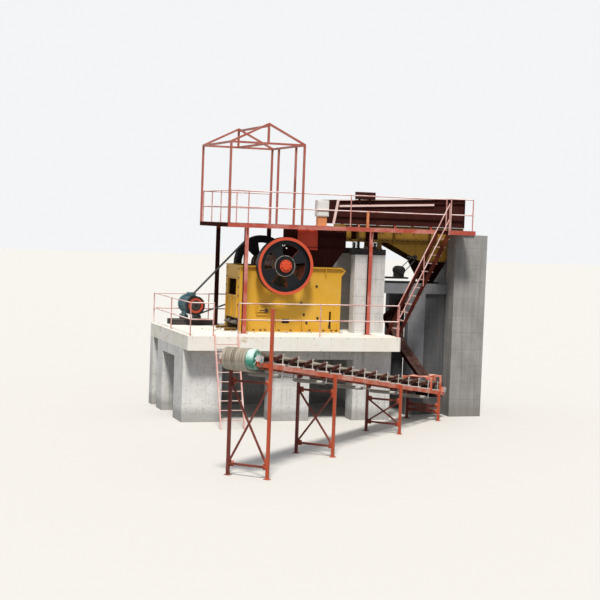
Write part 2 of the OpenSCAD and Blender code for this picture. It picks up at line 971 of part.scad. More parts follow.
module bearing_housings() {
  outer = wheel_spacing / 2 - wheel_w / 2 - housing_gap;
  color("peru")
    on_crusher()
      both_sides()
        difference() {
          union() {
            translate([0, -inner_half, shaft_z])
              rotate([90, 0, 0])
                cylinder(h = outer - inner_half, d = housing_d - 2 * seat_gap);
            translate([0, -outer + cap_t, shaft_z])
              rotate([90, 0, 0])
                cylinder(h = cap_t, d = housing_d + 2 * cap_over);
          }
          translate([0, -inner_half + cut, shaft_z])
            rotate([90, 0, 0])
              cylinder(h = outer, d = shaft_d + 2 * running_fit);
        }
}

// A ring or disc about the shaft line, its profile given as radius and place along the shaft
module turned(points) {
  rotate([-90, 0, 0])
    rotate_extrude()
      polygon(points);
}

module eccentric_shaft() {
  color("silver")
    on_crusher()
      translate([0, -shaft_half, shaft_z])
        rotate([-90, 0, 0])
          cylinder(h = 2 * shaft_half, d = shaft_d);
}

// One kidney-shaped window of a flywheel web
module web_window() {
  rotate([-90, 0, 0])
    translate([0, 0, -web_t])
      rotate([0, 0, -window_sweep / 2])
        rotate_extrude(angle = window_sweep)
          translate([window_in, 0])
            square([window_out - window_in, 2 * web_t]);
}

// The hub and web of a flywheel
module wheel_centre(rim_inner) {
  bore = shaft_d / 2;
  difference() {
    turned([
      [bore, -hub_half], [hub_d / 2, -hub_half], [hub_d / 2, -web_t / 2],
      [rim_inner, -web_t / 2], [rim_inner, web_t / 2],
      [hub_d / 2, web_t / 2], [hub_d / 2, hub_half], [bore, hub_half]
    ]);
    for (i = [0:window_count - 1])
      rotate([0, (i + window_turn) * 360 / window_count, 0])
        web_window();
  }
}

module flywheel() {
  rim_inner = wheel_r - rim_t;
  color("orangered")
    on_crusher()
      translate([0, -wheel_spacing / 2, shaft_z]) {
        wheel_centre(rim_inner + cut);
        turned([
          [rim_inner, -wheel_w / 2], [wheel_r, -wheel_w / 2],
          [wheel_r, wheel_w / 2], [rim_inner, wheel_w / 2]
        ]);
      }
}

// Profile of a grooved rim, from its inner radius out, with one groove a belt
function grooved_rim(inner, outer, half) = concat(
  [[inner, half], [inner, -half], [outer, -half]],
  [
    for (i = [0:belt_count - 1])
      let(mid = (i - (belt_count - 1) / 2) * belt_pitch)
        each [
          [outer, mid - groove_w / 2], [outer - groove_d, mid - groove_w / 2],
          [outer - groove_d, mid + groove_w / 2], [outer, mid + groove_w / 2]
        ]
  ],
  [[outer, half]]
);

module drive_wheel() {
  rim_inner = wheel_r - rim_t;
  color("dimgray")
    on_crusher()
      translate([0, pulley_y, shaft_z]) {
        wheel_centre(rim_inner + cut);
        turned(grooved_rim(rim_inner, wheel_r, wheel_w / 2));
      }
}

// One joined belt: a band over the rims with a rib in each groove
module drive_belts() {
  rib_in = belt_gap - belt_t;
  width = (belt_count - 1) * belt_pitch + belt_w;
  color("black")
    on_crusher()
      translate([0, pulley_y, shaft_z]) {
        translate([0, -width / 2, 0])
          loop([0, 0], wheel_r + belt_gap, belt_run, motor_pulley_r + belt_gap, band_t, width);
        for (i = [0:belt_count - 1])
          translate([0, (i - (belt_count - 1) / 2) * belt_pitch - belt_w / 2, 0])
            loop([0, 0], wheel_r + rib_in, belt_run, motor_pulley_r + rib_in, belt_t + band_t / 2, belt_w);
      }
}

// Puts its children on the motor's shaft line at the pulley's middle
module on_motor() {
  translate([motor_x, crusher_y + pulley_y, deck_z + motor_z])
    children();
}

module motor_pulley() {
  half = wheel_w / 2;
  color("orangered")
    on_motor() {
      turned(grooved_rim(motor_shaft_d / 2, motor_pulley_r, half));
      translate([0, -half - motor_nose, 0])
        rotate([-90, 0, 0])
          cylinder(h = wheel_w + motor_gap + motor_shaft_in + motor_nose, d = motor_shaft_d);
    }
}

module motor() {
  start = motor_start - pulley_y;
  fin_l = motor_l - motor_cowl_l - motor_shield_l;
  foot_end = start + motor_l - motor_cowl_l - motor_foot_in;
  foot_start = start + motor_shield_l + motor_foot_in;
  box_start = start + motor_shield_l + motor_box_in;
  color("cadetblue")
    on_motor() {
      difference() {
        union() {
          translate([0, start + motor_shield_l, 0])
            rotate([-90, 0, 0])
              cylinder(h = fin_l, d = motor_body_d);
          turned([
            [0, start], [motor_face_d / 2, start], [motor_body_d / 2, start + motor_shield_l],
            [motor_body_d / 2, start + motor_shield_l + motor_end_l],
            [0, start + motor_shield_l + motor_end_l]
          ]);
          for (i = [0:motor_fins - 1])
            rotate([0, (i + 0.5) * 360 / motor_fins, 0])
              translate([
                -motor_fin_t / 2,
                start + motor_shield_l + motor_end_l,
                motor_body_d / 2 - motor_fin_in
              ])
                cube([motor_fin_t, fin_l - 2 * motor_end_l, motor_fin_h + motor_fin_in]);
        }
        translate([0, start - cut, 0])
          rotate([-90, 0, 0])
            cylinder(h = motor_shaft_in + motor_nose + cut, d = motor_shaft_d + 2 * running_fit);
      }
      translate([0, start + motor_l - motor_cowl_l, 0])
        rotate([-90, 0, 0])
          cylinder(h = motor_cowl_l, d = motor_d);
      for (x = [-motor_foot_x, motor_foot_x]) {
        box(
          [x - motor_foot_w / 2, foot_start, -motor_foot_drop],
          [x + motor_foot_w / 2, foot_end, -motor_foot_drop + motor_foot_t]
        );
        box(
          [x - motor_foot_rib / 2, foot_start, -motor_foot_drop],
          [x + motor_foot_rib / 2, foot_end, -motor_foot_x]
        );
      }
      box(
        [-motor_box_w / 2, box_start, motor_body_d / 2 - motor_end_l],
        [motor_box_w / 2, box_start + motor_box_l, motor_body_d / 2 + motor_box_h]
      );
    }
}

// Two beams on the deck, two slide rails across them and their end plates
module motor_base() {
  rail_z = deck_z + motor_z - motor_foot_drop - slide_h;
  start = crusher_y + motor_start + motor_shield_l;
  stop = crusher_y + motor_end - motor_cowl_l;
  color("dimgray") {
    for (y = [start, stop - base_w])
      translate([motor_x - base_l / 2, y, deck_z])
        cube([base_l, base_w, rail_z - deck_z]);
    for (side = [-1, 1])
      translate([motor_x + side * motor_foot_x - slide_w / 2, start - slide_over, rail_z])
        cube([slide_w, stop - start + 2 * slide_over, slide_h - seat_gap]);
  }
}

// Walkway, canopy and posts

module walkway_frame() {
  t = steel_t;
  color("firebrick")
    translate([0, 0, beam_under]) {
      translate([walk_left, walk_front, 0])
        channel(walk_right - walk_left, channel_h, channel_w, t);
      translate([canopy_right, walk_back, 0])
        mirror([0, 1, 0])
          channel(walk_right - canopy_right, channel_h, channel_w, t);
      translate([walk_left, canopy_back, 0])
        mirror([0, 1, 0])
          channel(canopy_right - walk_left, channel_h, channel_w, t);
      for (x = [walk_left, canopy_right - channel_w])
        translate([x, walk_front + t, 0])
          cube([channel_w, canopy_back - walk_front - 2 * t, channel_h]);
      for (x = [walk_left + joist_pitch:joist_pitch:canopy_right - joist_pitch / 2])
        translate([x, walk_front + t, joist_drop])
          cube([joist_w, canopy_back - walk_front - 2 * t, channel_h - joist_drop]);
      for (x = [canopy_right + joist_pitch:joist_pitch:walk_right])
        translate([x - joist_w, walk_front + t, joist_drop])
          cube([joist_w, walk_back - walk_front - 2 * t, channel_h - joist_drop]);
      translate([stair_top_x, walk_front - landing_w, 0])
        channel(landing_right - stair_top_x, channel_h, channel_w, t);
      for (x = [stair_top_x, landing_right - channel_w])
        translate([x, walk_front - landing_w + t, 0])
          cube([channel_w, landing_w - t, channel_h]);
      translate([canopy_right, 2 * feed_mid - walk_back, 0])
        channel(walk_right - canopy_right, channel_h, channel_w, t);
      translate([0, feed_mid, 0])
        both_sides() {
          for (x = skirt_arms)
            translate([x, walk_back - feed_mid - t, 0])
              cube([arm_w, feed_mid - skirt_half + skirt_t - walk_back + t, skirt_foot - seat_gap]);
          for (x = chute_arms)
            translate([x, walk_back - feed_mid - t, 0])
              cube([arm_w, feed_mid - chute_w / 2 - walk_back + t - seat_gap, arm_h]);
        }
    }
}

module walkway_deck() {
  color("saddlebrown")
    translate([0, 0, walk_abs]) {
      box([walk_left, walk_front, 0], [canopy_right, canopy_back, tread_t]);
      box([canopy_right + plate_gap, walk_front, 0], [walk_right, walk_back - steel_t - seat_gap, tread_t]);
      box([stair_top_x, walk_front - landing_w, 0], [landing_right, walk_front - plate_gap, tread_t]);
    }
}

module walkway_posts() {
  color("firebrick")
    for (p = [
      [post_left_x, walk_front + post_s / 2],
      [post_right_x, walk_front + post_s / 2],
      [post_left_x, canopy_back - post_s / 2],
      [canopy_right - post_s / 2, canopy_back - post_s / 2]
    ])
      translate([p.x, p.y, 0]) {
        translate([-post_s / 2, -post_s / 2, deck_z])
          cube([post_s, post_s, walk_z - channel_h]);
        translate([-post_s, -post_s, deck_z])
          cube([2 * post_s, 2 * post_s, foot_plate_t]);
      }
}

// A run of handrail: top and middle pipes from point to point, and a post at each given place
module handrail(points, posts, height, post_d = pipe_d) {
  for (i = [0:len(points) - 2], h = [height, height / 2])
    pipe(points[i] + [0, 0, h], points[i + 1] + [0, 0, h], pipe_d);
  for (p = posts)
    pipe(p, p + [0, 0, height + pipe_d / 2], post_d);
}

// Post places spread evenly between two points
function spread(a, b, limit) =
  let(n = max(1, ceil(norm(b - a) / limit)))
    [for (i = [0:n]) a + (b - a) * i / n];

module walkway_handrail() {
  z = walk_abs + tread_t;
  inset = canopy_post + pipe_d / 2 + seat_gap;
  back_left = [walk_left + inset, canopy_back - inset, z];
  front_left = [walk_left + inset, walk_front + inset, z];
  stair_gap = [rail_end, walk_front + inset, z];
  back_right = [canopy_right - inset, canopy_back - inset, z];
  open_end = [stair_top_x + landing_open, walk_front - landing_w + inset, z];
  far_end = [landing_right - inset, walk_front - landing_w + inset, z];
  color("firebrick") {
    handrail(
      [back_right, back_left, front_left, stair_gap],
      concat(
        spread(back_right, back_left, rail_post_spacing),
        spread(back_left, front_left, rail_post_spacing),
        [for (x = rail_posts) [x, front_left.y, z]],
        [stair_gap]
      ),
      rail_h
    );
    handrail([open_end, far_end], [open_end, far_end], rail_h);
  }
}

// The outline of one gable in the XZ plane: tie beam, two rafters and king post
module gable_outline(left, right) {
  s = canopy_post;
  mid = (left + right) / 2;
  slope = gable_h / (mid - left);
  drop = s / cos(atan(slope));
  difference() {
    polygon([
      [left, eave_z - s], [left, eave_z], [mid, eave_z + gable_h], [right, eave_z], [right, eave_z - s]
    ]);
    for (side = [-1, 1])
      polygon([
        [mid + side * s / 2, eave_z],
        [mid + side * s / 2, eave_z + gable_h - s / 2 * slope - drop],
        [mid + side * (mid - left - drop / slope), eave_z]
      ]);
  }
}

// The bare steel frame over the end of the walkway
module canopy_frame() {
  s = canopy_post;
  base = walk_abs + tread_t;
  ridge = eave_z + gable_h;
  mid = (walk_left + canopy_right) / 2;
  color("firebrick") {
    for (x = [walk_left, canopy_right - s], y = [walk_front, canopy_back - s])
      box([x, y, base], [x + s, y + s, eave_z]);
    for (y = side_posts)
      box([canopy_right - s, y - s / 2, base], [canopy_right, y + s / 2, eave_z]);
    for (y = [walk_front, canopy_back - s])
      translate([0, y, 0])
        side_plate(s)
          gable_outline(walk_left, canopy_right);
    for (x = [walk_left, mid - s / 2, canopy_right - s])
      box([x, walk_front, eave_z - s], [x + s, canopy_back, eave_z]);
    box([mid - s / 2, walk_front, ridge - 2 * s], [mid + s / 2, canopy_back, ridge - s]);
  }
}

// Handrail and ladder of the deck

module slab_handrail() {
  left = slab_left + rail_inset;
  right = slab_right - rail_inset;
  front = slab_front + rail_inset;
  back = slab_back - rail_inset;
  gap_left = ladder_x - rail_gap;
  gap_right = ladder_x + ladder_w + rail_gap;
  a = [gap_left, front, deck_z];
  b = [left, front, deck_z];
  c = [left, back, deck_z];
  d = [rear_rail_end, back, deck_z];
  e = [gap_right, front, deck_z];
  f = [right, front, deck_z];
  color("indianred") {
    handrail([a, b, c, d], concat([a, b, c, d, (b + c) / 2, (c + d) / 2]), rail_h);
    handrail([e, f], [e, (e + f) / 2, f], rail_h);
  }
}

module access_ladder() {
  top = [0, slab_front, deck_z + ladder_over];
  foot = [0, slab_front - ladder_reach, 0];
  run = top - foot;
  count = floor((deck_z - rung_end) / rung_pitch);
  color("indianred")
    for (x = [ladder_x, ladder_x + ladder_w]) {
      intersection() {
        bar(2 * foot - top + [x, 0, 0], top + [x, 0, 0], stile_w, stile_h);
        box(
          [x - stile_w, foot.y - ladder_reach, 0],
          [x + stile_w, slab_front - seat_gap, deck_z + ladder_over]
        );
      }
    }
  color("indianred")
    for (i = [1:count])
      let(p = foot + run * i * rung_pitch / run.z)
        pipe(p + [ladder_x, 0, 0], p + [ladder_x + ladder_w, 0, 0], rung_d);
}

// Stair from the deck to the walkway

module stair_stringers() {
  across = stringer_h / sin(stair_angle);
  color("firebrick")
    for (y = [stair_front, walk_front - stringer_t])
      translate([0, y, deck_z])
        side_plate(stringer_t)
          polygon([
            [stair_foot_x, 0],
            [stair_foot_x + across, 0],
            [stair_top_x, (stair_run - across) * stair_rise / stair_run],
            [stair_top_x, stair_rise],
            [stair_top_x - stair_nose, stair_rise]
          ]);
}

module stair_treads() {
  rise = stair_rise / (tread_count + 1);
  color("firebrick")
    for (i = [1:tread_count])
      translate([
        stair_foot_x + i * rise * stair_run / stair_rise + tread_in,
        stair_front + stringer_t,
        deck_z + i * rise - tread_t_stair
      ])
        cube([tread_d, stair_w - 2 * stringer_t, tread_t_stair]);
}

module stair_handrail() {
  y = stair_front - pipe_d / 2 - seat_gap;
  foot = [stair_foot_x + stair_rail_in, y, deck_z + seat_gap];
  top = [stair_top_x - stair_rail_in, y, foot.z + (stair_run - 2 * stair_rail_in) * tan(stair_angle)];
  color("firebrick")
    handrail([foot, top], [foot, (foot + top) / 2, top], rail_h, 0.9 * pipe_d);
}

// Feeder

module feed_chute() {
  half = chute_w / 2;
  top = walk_z - chute_drop;
  color("firebrick")
    translate([0, feed_mid - half, deck_z])
      difference() {
        side_plate(chute_w)
          polygon([
            [chute_left, top], [chute_left, chute_knee_z],
            [chute_foot_left, chute_foot_z], [chute_foot_right, chute_foot_z],
            [chute_right, chute_knee_z], [chute_right, top]
          ]);
        translate([0, chute_t, 0])
          side_plate(chute_w - 2 * chute_t) {
            polygon([
              [chute_left + chute_t, top + cut], [chute_left + chute_t, chute_knee_z],
              [chute_foot_left + chute_t, chute_foot_z - cut], [chute_slide - chute_t, chute_foot_z - cut],
              [chute_right - chute_t, chute_knee_z], [chute_right - chute_t, chute_lip_z],
              [chute_right + cut, chute_lip_z], [chute_right + cut, top + cut]
            ]);
            polygon([
              [chute_slide + chute_t, chute_foot_z - cut],
              [chute_foot_right - 2 * chute_t, chute_foot_z - cut],
              [
                (chute_slide + chute_foot_right - chute_t) / 2 * (1 - chute_seam) + chute_right * chute_seam,
                chute_foot_z + (chute_knee_z - chute_foot_z) * chute_seam
              ]
            ]);
          }
      }
}

// Height of the skirt boards' top edge at a place
function skirt_top(x) =
  let(from = skirt_left + skirt_lean)
    skirt_h + (skirt_end_h - skirt_h) * (x - from) / (skirt_right - from);

// Outline of a skirt board, drawn in by an edge
module skirt_outline(in) {
  left = skirt_left + skirt_lean + in;
  polygon([
    [skirt_left + in, -in], [left, skirt_top(left) - in],
    [skirt_right - in, skirt_top(skirt_right) - in], [skirt_right - in, -in]
  ]);
}

module skirt_boards() {
  from = skirt_left + skirt_lean;
  color("firebrick")
    for (side = [0, 1])
      translate([0, feed_mid, deck_z + skirt_z])
        mirror([0, side, 0]) {
          translate([0, -skirt_half, 0])
            side_plate(skirt_t)
              skirt_outline(0);
          translate([0, -skirt_half - skirt_rib_w, 0])
            side_plate(skirt_rib_w) {
              difference() {
                skirt_outline(0);
                skirt_outline(skirt_rib_t);
              }
              polygon([
                [from, skirt_h - skirt_rib_high - skirt_rib_t],
                [skirt_right, skirt_end_h - skirt_rib_high - skirt_rib_t],
                [skirt_right, skirt_end_h - skirt_rib_high],
                [from, skirt_h - skirt_rib_high]
              ]);
              translate([from, skirt_rib_low])
                square([skirt_right - from, skirt_rib_t]);
            }
        }
}

module feeder_trough() {
  color("gold")
    translate([0, feed_mid, deck_z]) {
      for (side = [0, 1])
        mirror([0, side, 0]) {
          box([trough_x, -trough_half, trough_z], [trough_end, -trough_half + trough_t, trough_z + trough_h]);
          box(
            [trough_x, -trough_half - trough_lip, trough_z + trough_h - trough_t],
            [trough_end, -trough_half, trough_z + trough_h]
          );
          for (x = spring_xs)
            box(
              [x - spring_d / 2 - bracket_in, -spring_y - spring_d / 2 - bracket_in, spring_top],
              [x + spring_d / 2 + bracket_in, -trough_half, spring_top + bracket_h]
            );
          box(
            [exciter_x - exciter_arm, -trough_half, exciter_z],
            [exciter_x + exciter_arm, -trough_half + exciter_arm_t, trough_z]
          );
        }
      box([trough_x, -trough_half, trough_z], [grizzly_x, trough_half, trough_z + trough_t]);
      box([grizzly_x + grizzly_l, -trough_half, trough_z], [trough_end, trough_half, trough_z + trough_t]);
      for (y = [grizzly_pitch / 2:grizzly_pitch:trough_half - grizzly_bar])
        for (side = [-1, 1])
          translate([grizzly_x - bracket_in, side * y - grizzly_bar / 2, trough_z])
            cube([grizzly_l + 2 * bracket_in, grizzly_bar, grizzly_bar]);
      box([trough_end - trough_t, -trough_half, trough_z], [trough_end, trough_half, trough_z + trough_h]);
      translate([exciter_x, -trough_half, exciter_z])
        rotate([-90, 0, 0])
          cylinder(h = trough_w, d = exciter_d);
    }
}

module feeder_springs() {
  color("dimgray")
    translate([0, feed_mid, deck_z])
      for (x = spring_xs, side = [-1, 1]) {
        seat = x > slab_right ? pier_step_z : support_z;
        translate([x, side * spring_y, seat])
          cylinder(h = spring_top - seat, d = spring_d);
      }
}

module feeder_support() {
  color("dimgray")
    translate([0, 0, deck_z + column_h]) {
      for (side = [-1, 1])
        translate([support_left, feed_mid + side * spring_y - support_w / 2, 0])
          cube([slab_right + support_over - support_left, support_w, support_h]);
    }
}

module feeder_motor() {
  half = feeder_motor_l / 2;
  shelf_z = feeder_motor_z - feeder_motor_rise;
  shelf_y = min(half, column_d / 2);
  color("dimgray")
    translate([feeder_motor_x, column_y + column_d / 2, deck_z]) {
      box(
        [slab_right + seat_gap - feeder_motor_x, -shelf_y, shelf_z - feeder_shelf_t],
        [feeder_motor_d, shelf_y, shelf_z]
      );
      box([-feeder_foot_w / 2, -shelf_y, shelf_z], [feeder_foot_w / 2, shelf_y, feeder_motor_z]);
      translate([0, 0, feeder_motor_z])
        rotate([90, 0, 0]) {
          cylinder(h = feeder_motor_l, d = feeder_motor_d, center = true);
          cylinder(h = half + feeder_pulley_w, d = feeder_shaft_d);
          translate([0, 0, half + seat_gap])
            cylinder(h = feeder_pulley_w, d = feeder_pulley_d);
        }
    }
}

module undersize_hopper() {
  half = trough_half - hopper_inset;
  top = trough_z - seat_gap;
  color("gold")
    translate([0, feed_mid - half, deck_z])
      difference() {
        side_plate(2 * half)
          polygon([
            [hopper_left, top], [outlet_left, hopper_z], [outlet_right, hopper_z], [hopper_right, top]
          ]);
        translate([0, hopper_t, 0])
          side_plate(2 * half - 2 * hopper_t)
            polygon([
              [hopper_left + 2 * hopper_t, top + cut], [outlet_left + hopper_t, hopper_z - cut],
              [outlet_right - hopper_t, hopper_z - cut], [hopper_right - 2 * hopper_t, top + cut]
            ]);
      }
}

// A square duct between two level openings, each given as centre, length and width
module duct(a, b, size_a, size_b, t) {
  difference() {
    duct_solid(a, b, size_a, size_b, 0);
    duct_solid(a, b, size_a - [2 * t, 2 * t], size_b - [2 * t, 2 * t], cut);
  }
}
module duct_solid(a, b, size_a, size_b, over) {
  hull() {
    translate(a + [-size_a.x / 2, -size_a.y / 2, -chute_edge])
      cube([size_a.x, size_a.y, chute_edge + over]);
    translate(b + [-size_b.x / 2, -size_b.y / 2, -over])
      cube([size_b.x, size_b.y, chute_edge + over]);
  }
}

module undersize_chute() {
  top = [(outlet_left + outlet_right) / 2, feed_mid, deck_z + hopper_z - seat_gap];
  throat = [top.x, feed_mid, deck_z + chute_throat];
  turn = [chute_x, feed_mid, deck_z + chute_turn];
  bend = [chute_x, chute_bend_y, deck_z + chute_bend];
  end = [
    conv_x + load_at * cos(conv_turn),
    conv_y + load_at * sin(conv_turn),
    load_z + seat_gap
  ];
  square_size = [chute_size, chute_size];
  mouth = [outlet_right - outlet_left + 4 * hopper_t, 2 * (trough_half - hopper_inset + hopper_t)];
  color("saddlebrown") {
    duct(top, throat, mouth, square_size, hopper_t);
    duct(throat, turn, square_size, square_size, hopper_t);
    duct(turn, bend, square_size, square_size, hopper_t);
    duct(bend, end, square_size, square_size, hopper_t);
  }
}

module feeder_columns() {
  color("lightgray")
    for (y = [column_y, column_back_y])
      box([column_x, y, deck_z], [slab_right, y + column_d, deck_z + column_h]);
}

module tie_frame() {
  under = deck_z + tie_z - tie_h;
  color("lightgray") {
    for (y = [tie_y, 2 * feed_mid - tie_y - tie_w]) {
      box([slab_right, y, under], [y < feed_mid ? pier_wing_x : pier_x, y + tie_w, under + tie_h]);
      box([tie_post_x, y, 0], [tie_post_x + tie_post_w, y + tie_w, under]);
    }
    box([tie_post_x + tie_post_w, tie_y + tie_wall_in, 0], [pier_wing_x, tie_y + tie_w, under]);
  }
}

module end_pier() {
  color("lightgray") {
    box([pier_x, pier_y, 0], [pier_x + pier_l, pier_y + pier_d, deck_z + pier_step_z]);
    for (y = [pier_y, 2 * feed_mid - walk_back + channel_w])
      translate([pier_x, y, deck_z + pier_step_z])
        cube([pier_l, walk_back - channel_w - pier_y, beam_under - deck_z - pier_step_z]);
    box([pier_wing_x, pier_y, 0], [pier_x, walk_back - channel_w, beam_under]);
  }
}

// Conveyor

// Puts its children on the conveyor: X along it from the first trestle to the tail, level
module on_conveyor() {
  translate([conv_x, conv_y, 0])
    rotate([0, 0, conv_turn])
      children();
}

// The same with X down the slope and the origin on the middle of the frame
module on_slope() {
  on_conveyor()
    translate([0, 0, conv_z])
      rotate([0, conv_slope, 0])
        children();
}

// Length along the slope of a level distance
function along(d) = d / cos(conv_slope);

// Height of the frame's middle at a level distance from the first trestle
function frame_z(d) = conv_z - d * tan(conv_slope);

module conveyor_frame() {
  length = along(conv_length) + 2 * frame_ahead;
  t = steel_t;
  color("orangered")
    on_slope() {
      for (side = [0, 1])
        mirror([0, side, 0])
          translate([-along(head_ahead) - frame_ahead, -conv_half, -conv_beam_h / 2])
            channel(length, conv_beam_h, conv_beam_w, t);
      for (x = [0:cross_pitch:along(tail_at) - cross_pitch / 2])
        translate([x - cross_w / 2, -conv_half + t, -conv_beam_h / 2 + t])
          cube([cross_w, conv_w - 2 * t, cross_w]);
      for (x = [-along(head_ahead), along(tail_at)], side = [0, 1])
        mirror([0, side, 0])
          bearing_stand(x, x < 0 ? drum_z : tail_z);
      for (x = idler_places, side = [0, 1])
        mirror([0, side, 0])
          translate([x - pad_w / 2, -conv_half, conv_beam_h / 2])
            cube([pad_w, pad_w, pad_t]);
    }
  color("orangered")
    loading_boards();
}

// Two boards over the belt at the tail and the level plate that takes the chute
module loading_boards() {
  from = load_at - load_l / 2;
  to = load_at + load_l / 2;
  rise = (belt_top + load_gap) / cos(conv_slope);
  on_conveyor() {
    for (side = [-1, 1]) {
      translate([0, side * load_half - load_t / 2, 0])
        side_plate(load_t)
          polygon([
            [from, frame_z(from) + rise], [to, frame_z(to) + rise], [to, load_z], [from, load_z]
          ]);
      for (x = [from + pad_w, to - pad_w])
        translate([x, 0, 0]) {
          high = load_z - load_t;
          low = min(side * load_half, side * (conv_half - pad_w / 2));
          box(
            [-pad_w / 2, low, high - pad_w],
            [pad_w / 2, low + conv_half - pad_w / 2 - load_half, high]
          );
          box(
            [-pad_w / 2, side * (conv_half - pad_w / 2) - pad_w / 2, frame_z(x) + conv_beam_h / 2],
            [pad_w / 2, side * (conv_half - pad_w / 2) + pad_w / 2, high]
          );
        }
    }
    difference() {
      box([from, -load_half, load_z - load_t], [to, load_half, load_z]);
      translate([load_at, 0, 0])
        rotate([0, 0, -conv_turn])
          box(
            [-chute_size / 2 + hopper_t, -chute_size / 2 + hopper_t, load_z - load_t - cut],
            [chute_size / 2 - hopper_t, chute_size / 2 - hopper_t, load_z + cut]
          );
    }
  }
}

// A bearing block on a side beam, with its bore
module bearing_stand(x, z) {
  difference() {
    translate([x - bearing_w / 2, -conv_half - bearing_t + conv_beam_w, conv_beam_h / 2])
      cube([bearing_w, bearing_t, z - conv_beam_h / 2 + bearing_w / 2]);
    translate([x, -conv_half - bearing_t, z])
      rotate([-90, 0, 0])
        cylinder(h = 3 * bearing_t, d = drum_shaft_d + 2 * running_fit);
  }
}

// One drum with its shaft, turning about Y
module drum(d) {
  half = conv_belt_w / 2 + drum_over;
  shaft = conv_half + bearing_t - conv_beam_w + shaft_over;
  rotate([90, 0, 0]) {
    cylinder(h = 2 * half, d = d, center = true);
    cylinder(h = 2 * shaft, d = drum_shaft_d, center = true);
  }
}

module head_drum() {
  color("seagreen")
    on_slope()
      translate([-along(head_ahead), 0, drum_z])
        drum(drum_d);
}

module tail_drum() {
  color("dimgray")
    on_slope()
      translate([along(tail_at), 0, tail_z])
        drum(tail_d);
}

module conveyor_belt() {
  color("dimgray")
    on_slope()
      translate([0, belt_shift - conv_belt_w / 2, 0])
        loop(
          [-along(head_ahead), drum_z], drum_d / 2 + moving_gap,
          [along(tail_at), tail_z], tail_d / 2 + seat_gap,
          conv_belt_t, conv_belt_w
        );
}

// A flat belt round two circles in the XZ plane, drawn as a polygon that stays clear of both
module loop(a, big, b, small, t, width) {
  side_plate(width)
    difference() {
      polygon(loop_points(a, big + t, b, small + t));
      polygon(loop_points(a, big, b, small));
    }
}

function loop_points(a, big, b, small) =
  let(
    way = atan2(b.y - a.y, b.x - a.x),
    wrap = acos((big - small) / norm(b - a))
  )
    concat(
      arc_points(a, big, way + wrap, 360 - 2 * wrap),
      arc_points(b, small, way - wrap, 2 * wrap)
    );

function arc_points(centre, r, from, sweep) =
  let(step = sweep / loop_sides, out = r / cos(step / 2))
    [for (i = [0:loop_sides]) centre + out * [cos(from + i * step), sin(from + i * step)]];

// A roller or rod across the conveyor at a height, short of the frame's faces by a gap
module roller(z, in, d) {
  pipe([0, in - conv_half, z], [0, conv_half - in, z], d, round_sides);
}

// Carrying idlers: a roller under the belt between two brackets
module idlers() {
  color("lightgray")
    on_slope()
      for (x = idler_places)
        translate([x, 0, 0]) {
          roller_z = belt_top - conv_belt_t - seat_gap - roller_d / 2;
          roller(roller_z, roller_in, roller_d);
          for (side = [-1, 1])
            box(
              [-idler_rod, side * (conv_half - idler_in) - idler_plate / 2, conv_beam_h / 2 + pad_t],
              [idler_rod, side * (conv_half - idler_in) + idler_plate / 2, roller_z + idler_rod]
            );
          roller(roller_z, idler_in, idler_rod);
        }
}

// Height of the underside of the returning belt at a place along the slope
function return_z(x) =
  let(
    head = drum_z - drum_d / 2 - moving_gap - conv_belt_t,
    tail = tail_z - tail_d / 2 - seat_gap - conv_belt_t,
    part = (x + along(head_ahead)) / (along(head_ahead) + along(tail_at))
  )
    head + (tail - head) * part;

// Return idlers: one roller under the belt on two hangers
module return_idlers() {
  color("lightgray")
    on_slope()
      for (x = return_places)
        translate([x, 0, 0]) {
          z = return_z(x) - roller_d / 2 - seat_gap;
          roller(z, roller_in, roller_d);
          roller(z, hanger_in, idler_rod);
          for (side = [-1, 1])
            box(
              [-idler_rod, side * (conv_half - hanger_in) - hanger_t / 2, z - idler_rod],
              [idler_rod, side * (conv_half - hanger_in) + hanger_t / 2, -conv_beam_h / 2]
            );
        }
}

// One trestle at a level distance from the first: two posts with a bracket under each side
// beam, two bars and the crossed braces
module trestle(place) {
  top = frame_z(place) - conv_beam_h / 2 / cos(conv_slope);
  seat = top - trestle_s / 2 * tan(conv_slope) - seat_gap;
  y = conv_half + trestle_s / 2 + seat_gap;
  s = trestle_s;
  low = trestle_low;
  high = seat - trestle_high;
  on_conveyor()
    translate([place, 0, 0]) {
      for (side = [-1, 1])
        translate([0, side * y, 0]) {
          box([-s / 2, -s / 2, 0], [s / 2, s / 2, place + side < 0 ? top + trestle_tall : top + conv_beam_h]);
          box([-s, -s, 0], [s, s, foot_plate_t]);
        }
      for (side = [0, 1])
        mirror([0, side, 0])
          box([-s / 2, conv_half - conv_beam_w, seat - trestle_bar], [s / 2, y, seat]);
      for (z = [low, high])
        bar([0, -y, z], [0, y, z], trestle_bar, trestle_bar);
      bar([0, -y, low], [0, y, high], trestle_brace, trestle_brace);
      bar([0, y, low], [0, -y, high], trestle_brace, trestle_brace);
    }
}

module trestles() {
  color("firebrick")
    for (place = trestle_places)
      trestle(place);
}

wall_front();
wall_left();
wall_right();
wall_back();
slab();
crusher_frame();
fixed_jaw();
swing_jaw();
swing_jaw_plate();
cheek_plates();
toggle_plate();
tension_rod();
bearing_housings();
eccentric_shaft();
flywheel();
drive_wheel();
drive_belts();
motor_pulley();
motor();
motor_base();
walkway_frame();
walkway_deck();
walkway_posts();
walkway_handrail();
canopy_frame();
slab_handrail();
access_ladder();
stair_stringers();
stair_treads();
stair_handrail();
feed_chute();
skirt_boards();
feeder_trough();
feeder_springs();
feeder_support();
feeder_motor();
undersize_hopper();
undersize_chute();
feeder_columns();
tie_frame();
end_pier();
conveyor_frame();
trestles();
idlers();
return_idlers();
conveyor_belt();
head_drum();
tail_drum();
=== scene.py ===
"""Jaw crusher station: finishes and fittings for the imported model, with its light and camera."""

import math
import random
from itertools import product

import bmesh
import bpy
from mathutils import Matrix, Vector


